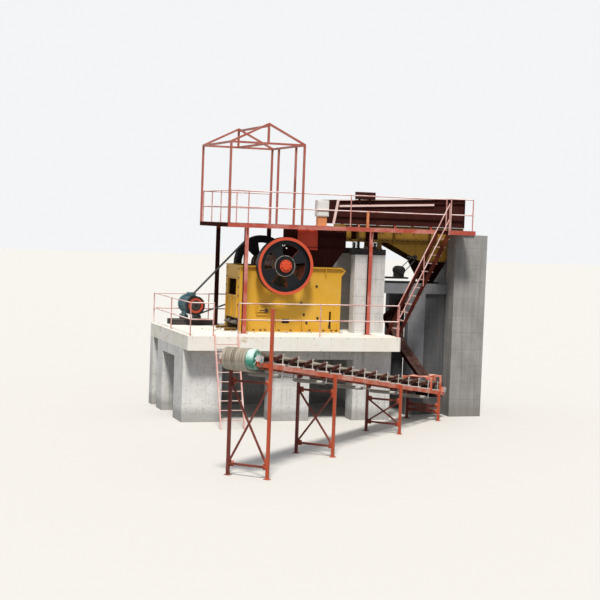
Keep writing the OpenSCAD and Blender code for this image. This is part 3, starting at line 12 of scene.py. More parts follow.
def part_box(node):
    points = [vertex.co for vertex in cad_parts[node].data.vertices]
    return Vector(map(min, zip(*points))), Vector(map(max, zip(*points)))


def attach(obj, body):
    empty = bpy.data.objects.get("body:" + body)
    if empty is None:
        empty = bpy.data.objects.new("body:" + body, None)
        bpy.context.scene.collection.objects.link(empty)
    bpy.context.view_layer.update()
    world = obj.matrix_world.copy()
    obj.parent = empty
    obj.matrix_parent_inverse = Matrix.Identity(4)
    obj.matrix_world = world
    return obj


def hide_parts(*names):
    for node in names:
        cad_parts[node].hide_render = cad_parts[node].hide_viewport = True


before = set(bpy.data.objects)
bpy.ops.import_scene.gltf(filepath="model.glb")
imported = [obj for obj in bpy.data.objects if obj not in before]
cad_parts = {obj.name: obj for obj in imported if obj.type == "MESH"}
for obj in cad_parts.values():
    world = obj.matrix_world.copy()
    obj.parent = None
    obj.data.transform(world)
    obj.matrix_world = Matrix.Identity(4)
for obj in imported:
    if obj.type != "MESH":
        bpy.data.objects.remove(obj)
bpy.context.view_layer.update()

# Places of the machine, in metres in the frame of the CAD model
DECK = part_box("slab")[1].z
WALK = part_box("walkway_deck")[1].z
SHAFT = (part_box("flywheel")[0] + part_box("flywheel")[1]) / 2
SHAFT.y = (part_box("eccentric_shaft")[0].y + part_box("eccentric_shaft")[1].y) / 2
FLYWHEEL_Y = (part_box("flywheel")[0].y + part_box("flywheel")[1].y) / 2
DRIVE_Y = 2 * SHAFT.y - FLYWHEEL_Y
WHEEL_R = (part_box("flywheel")[1].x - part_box("flywheel")[0].x) / 2
PULLEY_LOW, PULLEY_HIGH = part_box("motor_pulley")
MOTOR = Vector(((PULLEY_LOW.x + PULLEY_HIGH.x) / 2, DRIVE_Y, (PULLEY_LOW.z + PULLEY_HIGH.z) / 2))
MOTOR_R = (PULLEY_HIGH.x - PULLEY_LOW.x) / 2
BODY_HALF, BEARING_FACE = 0.89, 1.21
BODY_LEFT = SHAFT.x - 1.45
BODY_RIGHT = SHAFT.x + 2.31

CONVEYOR_YAW, CONVEYOR_FALL = math.radians(46.5), math.radians(8.4)
CONVEYOR_FOOT = Vector((-4.42, -10.225, 3.02))
HEAD_X, TAIL_X = -0.6065, 14.4551
HEAD_ALONG = (
    CONVEYOR_FOOT.x * math.cos(CONVEYOR_YAW) + CONVEYOR_FOOT.y * math.sin(CONVEYOR_YAW)
    + HEAD_X * math.cos(CONVEYOR_FALL)
)
HEAD_BEAM_Z = CONVEYOR_FOOT.z + 0.17

X_AXIS, Y_AXIS, Z_AXIS = Vector((1, 0, 0)), Vector((0, 1, 0)), Vector((0, 0, 1))


# Node trees

class Graph:
    """Adds nodes to one tree. Every value may be a number, a colour or another node's socket."""

    def __init__(self, tree):
        self.tree = tree

    def add(self, kind, inputs=None, **settings):
        node = self.tree.nodes.new(kind)
        for name, value in settings.items():
            setattr(node, name, value)
        for name, value in (inputs or {}).items():
            self.put(value, node.inputs[name])
        return node

    def put(self, value, socket):
        if isinstance(value, bpy.types.NodeSocket):
            self.tree.links.new(value, socket)
        elif socket.type == "RGBA":
            socket.default_value = (*value[:3], 1.0)
        else:
            socket.default_value = value

    def math(self, operation, a, b=0.5, clamp=False):
        node = self.add("ShaderNodeMath", operation=operation, use_clamp=clamp)
        self.put(a, node.inputs[0])
        self.put(b, node.inputs[1])
        return node.outputs[0]

    def plus(self, a, b, clamp=False):
        return self.math("ADD", a, b, clamp)

    def minus(self, a, b):
        return self.math("SUBTRACT", a, b)

    def times(self, a, b):
        return self.math("MULTIPLY", a, b)

    def most(self, a, b):
        return self.math("MAXIMUM", a, b)

    def length(self, a, b):
        """How long a vector of two parts is."""
        return self.math("SQRT", self.plus(self.math("POWER", a, 2.0), self.math("POWER", b, 2.0)))

    def off(self, value, middle):
        """How far a value is from a middle, to either side."""
        return self.math("ABSOLUTE", self.minus(value, middle))

    def use(self, group, inputs):
        return self.add("ShaderNodeGroup", inputs, node_tree=group).outputs

    def mix(self, factor, a, b):
        node = self.add("ShaderNodeMix", data_type="RGBA")
        self.put(factor, node.inputs[0])
        self.put(a, node.inputs[6])
        self.put(b, node.inputs[7])
        return node.outputs[2]

    def noise(self, vector, scale, detail=4.0, roughness=0.55):
        inputs = {"Vector": vector, "Scale": scale, "Detail": detail, "Roughness": roughness}
        return self.add("ShaderNodeTexNoise", inputs).outputs["Fac"]

    def between(self, value, low, high):
        inputs = {"Value": value, "From Min": low, "From Max": high}
        return self.add("ShaderNodeMapRange", inputs, clamp=True).outputs[0]

    def split(self, vector):
        return self.add("ShaderNodeSeparateXYZ", {"Vector": vector}).outputs

    def join(self, x, y, z):
        return self.add("ShaderNodeCombineXYZ", {"X": x, "Y": y, "Z": z}).outputs[0]

    def stretch(self, vector, scale):
        return self.add("ShaderNodeMapping", {"Vector": vector, "Scale": scale}).outputs[0]


def effect(name, inputs, outputs):
    """A shader node group with named inputs and outputs, and the graph that fills it."""
    group = bpy.data.node_groups.new(name, "ShaderNodeTree")
    for label, value in inputs.items():
        kind = "NodeSocketColor" if isinstance(value, tuple) else "NodeSocketFloat"
        socket = group.interface.new_socket(label, in_out="INPUT", socket_type=kind)
        socket.default_value = (*value, 1.0) if isinstance(value, tuple) else value
    for label in outputs:
        kind = "NodeSocketColor" if label == "Color" else "NodeSocketFloat"
        group.interface.new_socket(label, in_out="OUTPUT", socket_type=kind)
    graph = Graph(group)
    into = graph.add("NodeGroupInput").outputs
    out = graph.add("NodeGroupOutput").inputs
    return group, graph, into, out


def run_marks_effect():
    """Long marks that rain draws down an upright face."""
    group, g, into, out = effect("run_marks", {"Density": 5.0, "Amount": 0.5}, ["Mask"])
    here = g.add("ShaderNodeTexCoord").outputs["Object"]
    x, y, z = g.split(here)
    across = g.join(g.plus(x, y), g.minus(x, y), g.times(z, 0.07))
    lines = g.noise(across, into["Density"], detail=5.0, roughness=0.6)
    breaks = g.noise(here, 0.9, detail=3.0)
    edge = g.minus(0.78, g.times(into["Amount"], 0.35))
    marks = g.between(g.plus(lines, g.times(breaks, 0.18)), edge, 0.86)
    g.put(marks, out["Mask"])
    return group


def flecks_effect():
    """Small patches with ragged edges, as of rust, chips and splashes."""
    group, g, into, out = effect("flecks", {"Scale": 6.0, "Amount": 0.3}, ["Mask"])
    here = g.add("ShaderNodeTexCoord").outputs["Object"]
    patches = g.noise(here, into["Scale"], detail=9.0, roughness=0.68)
    edge = g.minus(0.8, g.times(into["Amount"], 0.45))
    g.put(g.between(patches, edge, g.plus(edge, 0.035)), out["Mask"])
    return group


def upward_effect():
    """How far a face looks up, broken by noise, for what settles on it and for painted highlight on top."""
    group, g, into, out = effect("facing_up", {"Amount": 0.5, "Scale": 5.0, "Edge": 0.45}, ["Mask"])
    coordinates = g.add("ShaderNodeTexCoord").outputs
    up = g.between(g.split(coordinates["Normal"])[2], into["Edge"], g.plus(into["Edge"], 0.5))
    patches = g.between(g.noise(coordinates["Object"], into["Scale"], detail=6.0), 0.3, 0.62)
    g.put(g.times(g.times(up, patches), into["Amount"]), out["Mask"])
    return group


def weathered_paint_effect(run_marks, flecks, facing_up):
    """Brushed paint outdoors: bleached and given painted highlight on top, stained down the sides, with rust
    and dust.
    """
    inputs = {
        "Paint": (0.5, 0.1, 0.1), "Bleached And Highlight": (0.7, 0.4, 0.3), "Rust": (0.13, 0.045, 0.02),
        "Dust": (0.62, 0.55, 0.44), "Bleach And Highlight Amount": 0.4, "Rust Amount": 0.3,
        "Dust Amount": 0.4, "Grime Amount": 0.4, "Roughness": 0.42, "Top Edge": 0.45,
    }
    group, g, into, out = effect("weathered_paint", inputs, ["Color", "Roughness", "Height"])
    here = g.add("ShaderNodeTexCoord").outputs["Object"]
    tone = g.noise(here, 1.7, detail=4.0)
    brush = g.noise(g.stretch(here, (9.0, 9.0, 2.0)), 3.0, detail=6.0)
    # Top faces take the bleach colour, which is sun bleaching and painted highlight both.
    top = g.use(facing_up, {"Amount": into["Bleach And Highlight Amount"], "Scale": 1.6, "Edge": into["Top Edge"]})[0]
    cloud = g.times(g.between(tone, 0.45, 0.72), into["Bleach And Highlight Amount"])
    bleach_and_highlight = g.most(top, g.times(cloud, 0.6))
    color = g.mix(bleach_and_highlight, into["Paint"], into["Bleached And Highlight"])
    runs = g.use(run_marks, {"Density": 9.0, "Amount": into["Grime Amount"]})[0]
    grime = g.times(runs, g.times(into["Grime Amount"], 0.75))
    color = g.mix(grime, color, g.mix(0.35, into["Rust"], (0.03, 0.025, 0.02)))
    rust = g.use(flecks, {"Scale": 5.5, "Amount": into["Rust Amount"]})[0]
    rust_color = g.mix(g.noise(here, 22.0), into["Rust"], g.mix(0.5, into["Rust"], (0.32, 0.11, 0.03)))
    color = g.mix(rust, color, rust_color)
    dust = g.use(facing_up, {"Amount": into["Dust Amount"]})[0]
    color = g.mix(dust, color, into["Dust"])
    color = g.mix(g.times(brush, 0.22), color, g.mix(0.5, color, (0.0, 0.0, 0.0)))
    g.put(color, out["Color"])
    worn = g.plus(rust, dust, clamp=True)
    rough = g.plus(into["Roughness"], g.times(worn, 0.4))
    g.put(g.plus(rough, g.times(brush, 0.12), clamp=True), out["Roughness"])
    bumps = g.times(g.noise(here, 38.0, detail=5.0), 0.5)
    g.put(g.minus(g.plus(bumps, brush), rust), out["Height"])
    return group


# Half the spacing of the tie holes in concrete, and how far their rows are shifted in height
TIE_PITCH, TIE_RISE = 0.305, 0.15


def cast_concrete_effect(run_marks, flecks):
    """Board-marked concrete: panels, joints, tie holes, pores, runs and a damp foot."""
    inputs = {
        "Pale": (0.6, 0.58, 0.53), "Dark": (0.36, 0.35, 0.33), "Stain": (0.55, 0.42, 0.2),
        "Run": (0.17, 0.155, 0.135), "Stain Amount": 0.3, "Run Amount": 0.5, "Joint Amount": 0.6,
        "Foot Height": 0.5, "Pit Amount": 1.0, "Panel Width": 1.22, "Panel Height": 0.61,
    }
    group, g, into, out = effect("cast_concrete", inputs, ["Color", "Roughness", "Height"])
    coordinates = g.add("ShaderNodeTexCoord").outputs
    here = coordinates["Object"]
    x, y, z = g.split(here)
    facing = g.math("ABSOLUTE", g.split(coordinates["Normal"])[1])
    along = g.add("ShaderNodeMix", data_type="FLOAT")
    g.put(g.between(facing, 0.45, 0.55), along.inputs[0])
    g.put(y, along.inputs[2])
    g.put(x, along.inputs[3])
    wall = g.join(along.outputs[0], z, 0.0)
    panel = g.add(
        "ShaderNodeTexBrick",
        {
            "Vector": wall, "Color1": (0.0, 0.0, 0.0), "Color2": (1.0, 1.0, 1.0), "Mortar": (0.5,) * 3,
            "Scale": 1.0, "Mortar Size": 0.006, "Brick Width": into["Panel Width"],
            "Row Height": into["Panel Height"],
        },
        offset=0.0,
    )
    tie_u = g.math("PINGPONG", along.outputs[0], TIE_PITCH)
    tie_v = g.math("PINGPONG", g.plus(z, TIE_RISE), TIE_PITCH)
    tie = g.minus(1.0, g.between(g.length(tie_u, tie_v), 0.012, 0.02))
    cloud = g.noise(here, 0.8, detail=6.0, roughness=0.6)
    grain = g.noise(here, 28.0, detail=8.0, roughness=0.7)
    pores = g.add("ShaderNodeTexVoronoi", {"Vector": here, "Scale": 9.0}, feature="F1").outputs["Distance"]
    ragged = g.plus(pores, g.times(g.minus(grain, 0.5), 0.25))
    pits = g.minus(1.0, g.between(ragged, 0.07, 0.15))
    pits = g.times(pits, g.between(g.noise(here, 2.6), 0.45, 0.6))
    pits = g.times(pits, into["Pit Amount"])
    color = g.mix(g.between(cloud, 0.3, 0.7), into["Dark"], into["Pale"])
    color = g.mix(g.times(panel.outputs["Color"], 0.13), color, into["Dark"])
    color = g.mix(g.times(g.between(grain, 0.42, 0.72), 0.3), color, into["Dark"])
    blotches = g.between(g.noise(here, 9.0, detail=5.0, roughness=0.7), 0.52, 0.66)
    color = g.mix(g.times(blotches, g.times(into["Pit Amount"], 0.25)), color, into["Run"])
    runs = g.use(run_marks, {"Density": 4.5, "Amount": into["Run Amount"]})[0]
    color = g.mix(g.times(runs, 0.6), color, into["Run"])
    stains = g.use(flecks, {"Scale": 0.9, "Amount": into["Stain Amount"]})[0]
    soft = g.times(stains, g.between(g.noise(here, 3.1), 0.35, 0.75))
    color = g.mix(g.times(soft, 0.7), color, into["Stain"])
    above_foot = g.minus(z, g.times(cloud, 0.5))
    foot = g.minus(1.0, g.between(above_foot, 0.0, into["Foot Height"]))
    color = g.mix(g.times(foot, 0.5), color, into["Run"])
    marks = g.most(g.times(panel.outputs["Fac"], into["Joint Amount"]), tie)
    marks = g.most(marks, pits)
    color = g.mix(g.times(marks, 0.7), color, into["Run"])
    g.put(color, out["Color"])
    g.put(g.plus(0.78, g.times(grain, 0.18)), out["Roughness"])
    relief = g.plus(g.times(grain, 0.35), g.times(cloud, 0.3))
    g.put(g.minus(relief, marks), out["Height"])
    return group


def dusty_rubber_effect(flecks):
    """Black rubber with stone dust rubbed into it along its run."""
    inputs = {"Rubber": (0.03, 0.03, 0.03), "Dust": (0.35, 0.3, 0.24), "Dust Amount": 0.4}
    group, g, into, out = effect("dusty_rubber", inputs, ["Color", "Roughness", "Height"])
    here = g.add("ShaderNodeTexCoord").outputs["Object"]
    fine = g.noise(here, 30.0, detail=7.0, roughness=0.7)
    broad = g.noise(here, 1.3, detail=4.0)
    film = g.times(g.between(g.plus(broad, g.times(fine, 0.4)), 0.5, 0.95), into["Dust Amount"])
    spots = g.use(flecks, {"Scale": 16.0, "Amount": into["Dust Amount"]})[0]
    mask = g.most(film, g.times(spots, 0.6))
    g.put(g.mix(mask, into["Rubber"], into["Dust"]), out["Color"])
    g.put(g.plus(0.5, g.times(mask, 0.4)), out["Roughness"])
    g.put(fine, out["Height"])
    return group


def worn_steel_effect(flecks):
    """Bare or polished steel with scratches, stains and rust."""
    inputs = {"Steel": (0.4, 0.39, 0.37), "Rust": (0.16, 0.07, 0.03), "Rust Amount": 0.3, "Roughness": 0.35}
    group, g, into, out = effect("worn_steel", inputs, ["Color", "Roughness", "Height"])
    here = g.add("ShaderNodeTexCoord").outputs["Object"]
    scratches = g.noise(g.stretch(here, (3.0, 60.0, 3.0)), 4.0, detail=6.0)
    broad = g.noise(here, 3.0, detail=5.0)
    rust = g.use(flecks, {"Scale": 4.0, "Amount": into["Rust Amount"]})[0]
    steel = g.mix(g.times(broad, 0.45), into["Steel"], g.mix(0.6, into["Steel"], (0.03, 0.025, 0.02)))
    g.put(g.mix(rust, steel, into["Rust"]), out["Color"])
    rough = g.plus(into["Roughness"], g.times(scratches, 0.2))
    g.put(g.plus(rough, g.times(rust, 0.35), clamp=True), out["Roughness"])
    g.put(g.plus(scratches, rust), out["Height"])
    return group


RUN_MARKS = run_marks_effect()
FLECKS = flecks_effect()
FACING_UP = upward_effect()
PAINT = weathered_paint_effect(RUN_MARKS, FLECKS, FACING_UP)
CONCRETE = cast_concrete_effect(RUN_MARKS, FLECKS)
RUBBER = dusty_rubber_effect(FLECKS)
STEEL = worn_steel_effect(FLECKS)


# Finishes

def finish_of(name, group, values, metallic=0.0, relief=0.3, depth=0.004, coat=0.0):
    """A material whose colour, roughness and relief come from one of the effects."""
    material = bpy.data.materials.new(name)
    material.use_nodes = True
    graph = Graph(material.node_tree)
    shader = material.node_tree.nodes["Principled BSDF"]
    shader.inputs["Metallic"].default_value = metallic
    shader.inputs["Specular IOR Level"].default_value = 0.5 if metallic else 0.22
    shader.inputs["Coat Weight"].default_value = coat
    wear = graph.add("ShaderNodeGroup", node_tree=group)
    for label, value in values.items():
        graph.put(value, wear.inputs[label])
    bumps = {"Strength": relief, "Distance": depth, "Height": wear.outputs["Height"]}
    bump = graph.add("ShaderNodeBump", bumps)
    graph.put(wear.outputs["Color"], shader.inputs["Base Color"])
    graph.put(wear.outputs["Roughness"], shader.inputs["Roughness"])
    graph.put(bump.outputs[0], shader.inputs["Normal"])
    return material


def paint(name, color, bleach_and_highlight, rust=0.25, dust=0.35, grime=0.4, bleach_and_highlight_amount=0.5, rough=0.4, top=0.45):
    values = {
        "Paint": color, "Bleached And Highlight": bleach_and_highlight, "Rust Amount": rust, "Dust Amount": dust,
        "Grime Amount": grime, "Bleach And Highlight Amount": bleach_and_highlight_amount, "Roughness": rough, "Top Edge": top,
    }
    return finish_of(name, PAINT, values)


def repaint(material, socket, change):
    """Lets a place-dependent colour take over one colour input of a finish."""
    graph = Graph(material.node_tree)
    wear = material.node_tree.nodes["Principled BSDF"].inputs["Base Color"].links[0].from_node
    here = graph.add("ShaderNodeTexCoord").outputs["Object"]
    before = tuple(wear.inputs[socket].default_value)[:3]
    graph.put(change(graph, here, before), wear.inputs[socket])
    return material


def greased_and_shaded_crusher(graph, here, yellow):
    """Painted shade inside the body, and grease with painted shade behind the flywheels round the bearings.
    """
    x, y, z = graph.split(here)
    away = graph.off(y, SHAFT.y)
    # Painted shade: the inside of the body is darkened to a deep brown.
    inside = graph.minus(1.0, graph.between(away, 0.8, 0.84))
    inside = graph.times(inside, graph.between(x, BODY_LEFT + 0.03, BODY_LEFT + 0.05))
    inside = graph.times(inside, graph.between(x, BODY_RIGHT - 0.03, BODY_RIGHT - 0.05))
    inside = graph.times(inside, graph.between(z, DECK + 2.3, DECK + 2.2))
    # Grease and painted shade: a dark, blotched patch on the sides round the shaft, behind the flywheels.
    far = graph.length(graph.minus(x, SHAFT.x + 0.16), graph.minus(z, SHAFT.z))
    blotch = graph.between(graph.noise(here, 3.4, detail=3.0), 0.5, 0.56)
    grease_and_shade = graph.mix(blotch, (0.028, 0.022, 0.014), (0.2, 0.04, 0.022))
    color = graph.mix(graph.between(far, 0.86, 0.8), yellow, grease_and_shade)
    return graph.mix(inside, color, (0.07, 0.042, 0.02))


def along_conveyor(graph, here):
    """Level coordinates across and along the conveyor, and the height."""
    x, y, z = graph.split(here)
    sine, cosine = math.sin(CONVEYOR_YAW), math.cos(CONVEYOR_YAW)
    across = graph.minus(graph.times(y, cosine), graph.times(x, sine))
    along = graph.plus(graph.times(x, cosine), graph.times(y, sine))
    return across, along, z


def shaded_far_side(graph, here, red):
    """Red on the near posts of the conveyor's trestles, dark maroon as painted shade on the posts behind
    them.
    """
    across, _, _ = along_conveyor(graph, here)
    return graph.mix(graph.between(across, -4.35, -4.3), red, (0.16, 0.032, 0.024))


def shaded_walkway(graph, here, red):
    """Clean red in front, with painted shade in dark red on the faces that look left and on the posts at the
    back.
    """
    _, y, z = graph.split(here)
    side = graph.split(graph.add("ShaderNodeTexCoord").outputs["Normal"])[0]
    left = graph.between(side, -0.5, -0.7)
    back = graph.times(graph.between(y, 2.4, 2.5), graph.between(z, WALK - 0.2, WALK - 0.25))
    return graph.mix(graph.most(left, back), red, (0.05, 0.016, 0.012))


def pale_bearing_blocks(graph, here, red):
    """The blocks that carry the head drum are pale, the beams are red."""
    _, along, z = along_conveyor(graph, here)
    off_head = graph.off(along, HEAD_ALONG)
    above = graph.between(z, HEAD_BEAM_Z, HEAD_BEAM_Z + 0.01)
    return graph.mix(graph.times(graph.between(off_head, 0.2, 0.18), above), red, (0.62, 0.55, 0.57))


def worn_belt(graph, here, dust):
    """Stripes that scrapers and stones rub along the belt."""
    across, along, z = along_conveyor(graph, here)
    stretched = graph.stretch(graph.join(across, along, z), (30.0, 0.3, 0.3))
    stripes = graph.between(graph.noise(stretched, 1.0, detail=4.0), 0.36, 0.54)
    return graph.mix(stripes, (0.16, 0.12, 0.08), dust)


def facing_down(graph):
    up = graph.split(graph.add("ShaderNodeTexCoord").outputs["Normal"])[2]
    return graph.between(up, -0.25, -0.45)


# Dust and painted light: faces that look down are pale, which lifts the shaded return strand.
def dusty_and_lit_underside(graph, here, rubber):
    return graph.mix(facing_down(graph), rubber, (0.9, 0.86, 0.74))


def shaded_tie_wall(graph, here, color):
    """Painted shade: the wall beside the tie frame's post is darker than the post."""
    x, _, z = graph.split(here)
    wall = graph.times(graph.between(x, 5.43, 5.45), graph.between(z, 4.42, 4.38))
    return graph.mix(wall, color, tuple(0.4 * part for part in color))


def shaded_underside(graph, here, color):
    return graph.mix(facing_down(graph), color, (0.05, 0.022, 0.012))


def concrete(name, pale, dark, stain=0.3, run=0.5, joint=0.6, foot=0.4, pit=0.6):
    values = {
        "Pale": pale, "Dark": dark, "Stain Amount": stain, "Run Amount": run,
        "Joint Amount": joint, "Foot Height": foot, "Pit Amount": pit,
    }
    return finish_of(name, CONCRETE, values, relief=0.6, depth=0.008)


def wheel_paint(name, centre, bands, side, dark):
    """Wheel paint in rings on the faces, and another on the cut sides of the windows.

    Each band, and the side, has an inner radius, an outer radius and a colour.
    """
    material = paint(name, dark, (0.03, 0.03, 0.032), rust=0.1, dust=0.03, grime=0.2, bleach_and_highlight_amount=0.1)
    graph = Graph(material.node_tree)
    shader = material.node_tree.nodes["Principled BSDF"]
    wear = shader.inputs["Base Color"].links[0].from_node
    coordinates = graph.add("ShaderNodeTexCoord").outputs
    x, _, z = graph.split(coordinates["Object"])
    far = graph.length(graph.minus(x, centre.x), graph.minus(z, centre.z))
    _, face, _ = graph.split(coordinates["Normal"])
    flat = graph.between(graph.math("ABSOLUTE", face), 0.6, 0.7)
    color = dark

    def ring(inner, outer, soft):
        return graph.times(graph.between(far, inner - soft, inner), graph.between(far, outer + soft, outer))

    for inner, outer, tint in bands:
        color = graph.mix(graph.times(ring(inner, outer, 0.002), flat), color, tint)
    inner, outer, tint = side
    cut = graph.times(ring(inner, outer, 0.01), graph.minus(1.0, flat))
    graph.put(graph.mix(cut, color, tint), wear.inputs["Paint"])
    return material


CRUSHER_YELLOW = paint(
    "crusher_yellow", (0.7, 0.385, 0.035), (0.78, 0.54, 0.16), rust=0.1, dust=0.3, grime=0.3, bleach_and_highlight_amount=0.35
)
CRUSHER_BODY = repaint(
    paint(
        "crusher_body", (0.66, 0.36, 0.035), (0.76, 0.52, 0.16), rust=0.1, dust=0.3, grime=0.3, bleach_and_highlight_amount=0.35
    ),
    "Paint", greased_and_shaded_crusher,
)
# Dark, dirty ochre for the housings: grease and painted shade behind the flywheels.
HOUSING_OCHRE = paint("housing_ochre", (0.14, 0.09, 0.035), (0.34, 0.27, 0.15), rust=0.3, dust=0.3, grime=0.6)
# The pale tops of the walkway's channels are painted highlight, carried by the bleach colour.
WALKWAY_RED = repaint(
    paint(
        "walkway_red", (0.5, 0.1, 0.07), (0.85, 0.5, 0.43),
        rust=0.25, dust=0.1, grime=0.3, bleach_and_highlight_amount=0.8, top=0.3,
    ),
    "Paint", shaded_walkway,
)
# The painted shade darkens the walkway's bleach colour too.
repaint(WALKWAY_RED, "Bleached And Highlight", shaded_walkway)
CANOPY_RED = paint(
    "canopy_red", (0.43, 0.12, 0.085), (0.66, 0.34, 0.27), rust=0.35, dust=0.12, grime=0.35, bleach_and_highlight_amount=0.6
)
# The near-white tops of the rails are painted highlight, carried by the bleach colour and amount.
RAIL_RED = paint(
    "rail_red", (0.58, 0.2, 0.16), (0.95, 0.82, 0.77), rust=0.2, dust=0.0, grime=0.2, bleach_and_highlight_amount=1.3, top=-0.1
)
LADDER_PINK = paint(
    "ladder_pink", (0.74, 0.4, 0.35), (0.92, 0.78, 0.72), rust=0.15, dust=0.0, grime=0.1, bleach_and_highlight_amount=1.2,
)
CHUTE_RED = paint(
    "chute_red", (0.05, 0.015, 0.013), (0.15, 0.055, 0.045), rust=0.2, dust=0.1, grime=0.5, bleach_and_highlight_amount=0.2,
)
CHUTE_PANEL = paint(
    "chute_panel", (0.85, 0.09, 0.04), (0.85, 0.3, 0.2), rust=0.15, dust=0.1, grime=0.25, bleach_and_highlight_amount=0.2,
)
HUB_ORANGE = paint(
    "hub_orange", (0.7, 0.075, 0.022), (0.9, 0.3, 0.2), rust=0.05, dust=0.05, grime=0.05, bleach_and_highlight_amount=0.1,
)
CHUTE_BLACK = paint("chute_black", (0.03, 0.009, 0.008), (0.08, 0.03, 0.025), rust=0.15, dust=0.1, grime=0.4)
STAIR_RED = paint(
    "stair_red", (0.05, 0.012, 0.009), (0.42, 0.1, 0.035), rust=0.2, dust=0.0, grime=0.3, bleach_and_highlight_amount=0.35, top=0.6
)
TREAD_PINK = paint(
    "tread_pink", (0.6, 0.36, 0.32), (0.85, 0.68, 0.62), rust=0.25, dust=0.0, grime=0.2, bleach_and_highlight_amount=0.7,
)
FEEDER_YELLOW = paint(
    "feeder_yellow", (0.3, 0.165, 0.025), (0.6, 0.38, 0.07), rust=0.25, dust=0.3, grime=0.5, bleach_and_highlight_amount=0.35
)
HOPPER_OCHRE = repaint(
    paint("hopper_ochre", (0.66, 0.38, 0.07), (0.75, 0.52, 0.16), rust=0.15, dust=0.2, grime=0.4, bleach_and_highlight_amount=0.3),
    "Paint", shaded_underside,
)
CONVEYOR_RED = repaint(
    paint(
        "conveyor_red", (0.68, 0.115, 0.04), (0.95, 0.7, 0.6),
        rust=0.22, dust=0.1, grime=0.35, bleach_and_highlight_amount=1.0, top=0.3,
    ),
    "Paint", pale_bearing_blocks,
)
TRESTLE_RED = repaint(
    paint("trestle_red", (0.5, 0.085, 0.035), (0.7, 0.24, 0.13), rust=0.3, dust=0.2, grime=0.5, bleach_and_highlight_amount=0.3),
    "Paint", shaded_far_side,
)
DARK_STEEL = paint(
    "dark_steel", (0.045, 0.04, 0.04), (0.12, 0.1, 0.09), rust=0.35, dust=0.4, grime=0.3, rough=0.5,
)
MOTOR_BLACK = paint("motor_black", (0.012, 0.011, 0.011), (0.05, 0.045, 0.04), rust=0.2, dust=0.06, grime=0.2)
PLATE_STEEL = paint(
    "plate_steel", (0.2, 0.085, 0.065), (0.4, 0.24, 0.19), rust=0.45, dust=0.55, grime=0.3, rough=0.5,
)
RUSTY_STEEL = paint(
    "rusty_steel", (0.1, 0.06, 0.048), (0.2, 0.13, 0.1), rust=0.6, dust=0.35, grime=0.6, rough=0.6,
)
MOTOR_TEAL = paint(
    "motor_teal", (0.03, 0.13, 0.16), (0.12, 0.3, 0.36), rust=0.15, dust=0.3, grime=0.45, bleach_and_highlight_amount=0.4,
)
# The mint-white top of the drum is painted highlight over dust, carried by the bleach colour.
DRUM_GREEN = paint(
    "drum_green", (0.08, 0.34, 0.25), (0.66, 0.86, 0.78), rust=0.25, dust=0.2, grime=0.4, bleach_and_highlight_amount=1.4, top=0.0
)
BOX_WHITE = paint("box_white", (0.8, 0.78, 0.74), (0.9, 0.88, 0.85), rust=0.1, dust=0.2, grime=0.35)
BOX_ORANGE = paint("box_orange", (0.72, 0.26, 0.1), (0.8, 0.45, 0.3), rust=0.15, dust=0.2, grime=0.3)
# Near-white red for the skirt bars: painted highlight of their sunlit edges.
HIGHLIGHT_RED = paint(
    "highlight_red", (0.85, 0.6, 0.54), (0.97, 0.88, 0.84), rust=0.15, dust=0.0, grime=0.1, bleach_and_highlight_amount=0.8
)
IDLER_PALE = paint(
    "idler_pale", (0.55, 0.47, 0.43), (0.85, 0.8, 0.74), rust=0.35, dust=0.7, grime=0.4, bleach_and_highlight_amount=0.9,
)
ROLLER_MAROON = paint("roller_maroon", (0.07, 0.018, 0.015), (0.2, 0.1, 0.08), rust=0.3, dust=0.4, grime=0.4)
BEARING_PALE = paint(
    "bearing_pale", (0.62, 0.55, 0.57), (0.85, 0.8, 0.8), rust=0.25, dust=0.4, grime=0.4, bleach_and_highlight_amount=0.8,
)
ROLLER_GREY = paint(
    "roller_grey", (0.42, 0.4, 0.38), (0.62, 0.6, 0.57), rust=0.3, dust=0.4, grime=0.3, rough=0.45,
)
WALL_CONCRETE = concrete(
    "wall_concrete", (0.9, 0.89, 0.87), (0.62, 0.61, 0.59), stain=0.25, run=0.4, joint=0.3, foot=0.25, pit=1.0
)
SLAB_CONCRETE = concrete(
    "slab_concrete", (0.95, 0.93, 0.88), (0.84, 0.8, 0.7), stain=0.5, run=0.1, joint=0.2, foot=0.1, pit=0.25
)
COLUMN_CONCRETE = concrete("column_concrete", (0.76, 0.75, 0.72), (0.5, 0.49, 0.47), stain=0.25, run=0.4)
STONE_GREY = concrete(
    "stone_grey", (0.6, 0.58, 0.54), (0.34, 0.33, 0.31), stain=0.3, run=0.0, joint=0.0, foot=0.01,
)
# The tie frame's concrete is dark all over as painted shade, and the wall beside the post is darker still.
TIE_CONCRETE = concrete("tie_concrete", (0.24, 0.25, 0.27), (0.14, 0.145, 0.155), stain=0.15, run=0.7)
repaint(TIE_CONCRETE, "Pale", shaded_tie_wall)
repaint(TIE_CONCRETE, "Dark", shaded_tie_wall)
PIER_CONCRETE = concrete("pier_concrete", (0.46, 0.45, 0.43), (0.28, 0.27, 0.26), stain=0.3, run=0.9)
BELT_RUBBER = finish_of(
    "belt_rubber", RUBBER, {"Rubber": (0.04, 0.03, 0.022), "Dust": (0.6, 0.53, 0.42), "Dust Amount": 0.95}
)
repaint(BELT_RUBBER, "Dust", worn_belt)
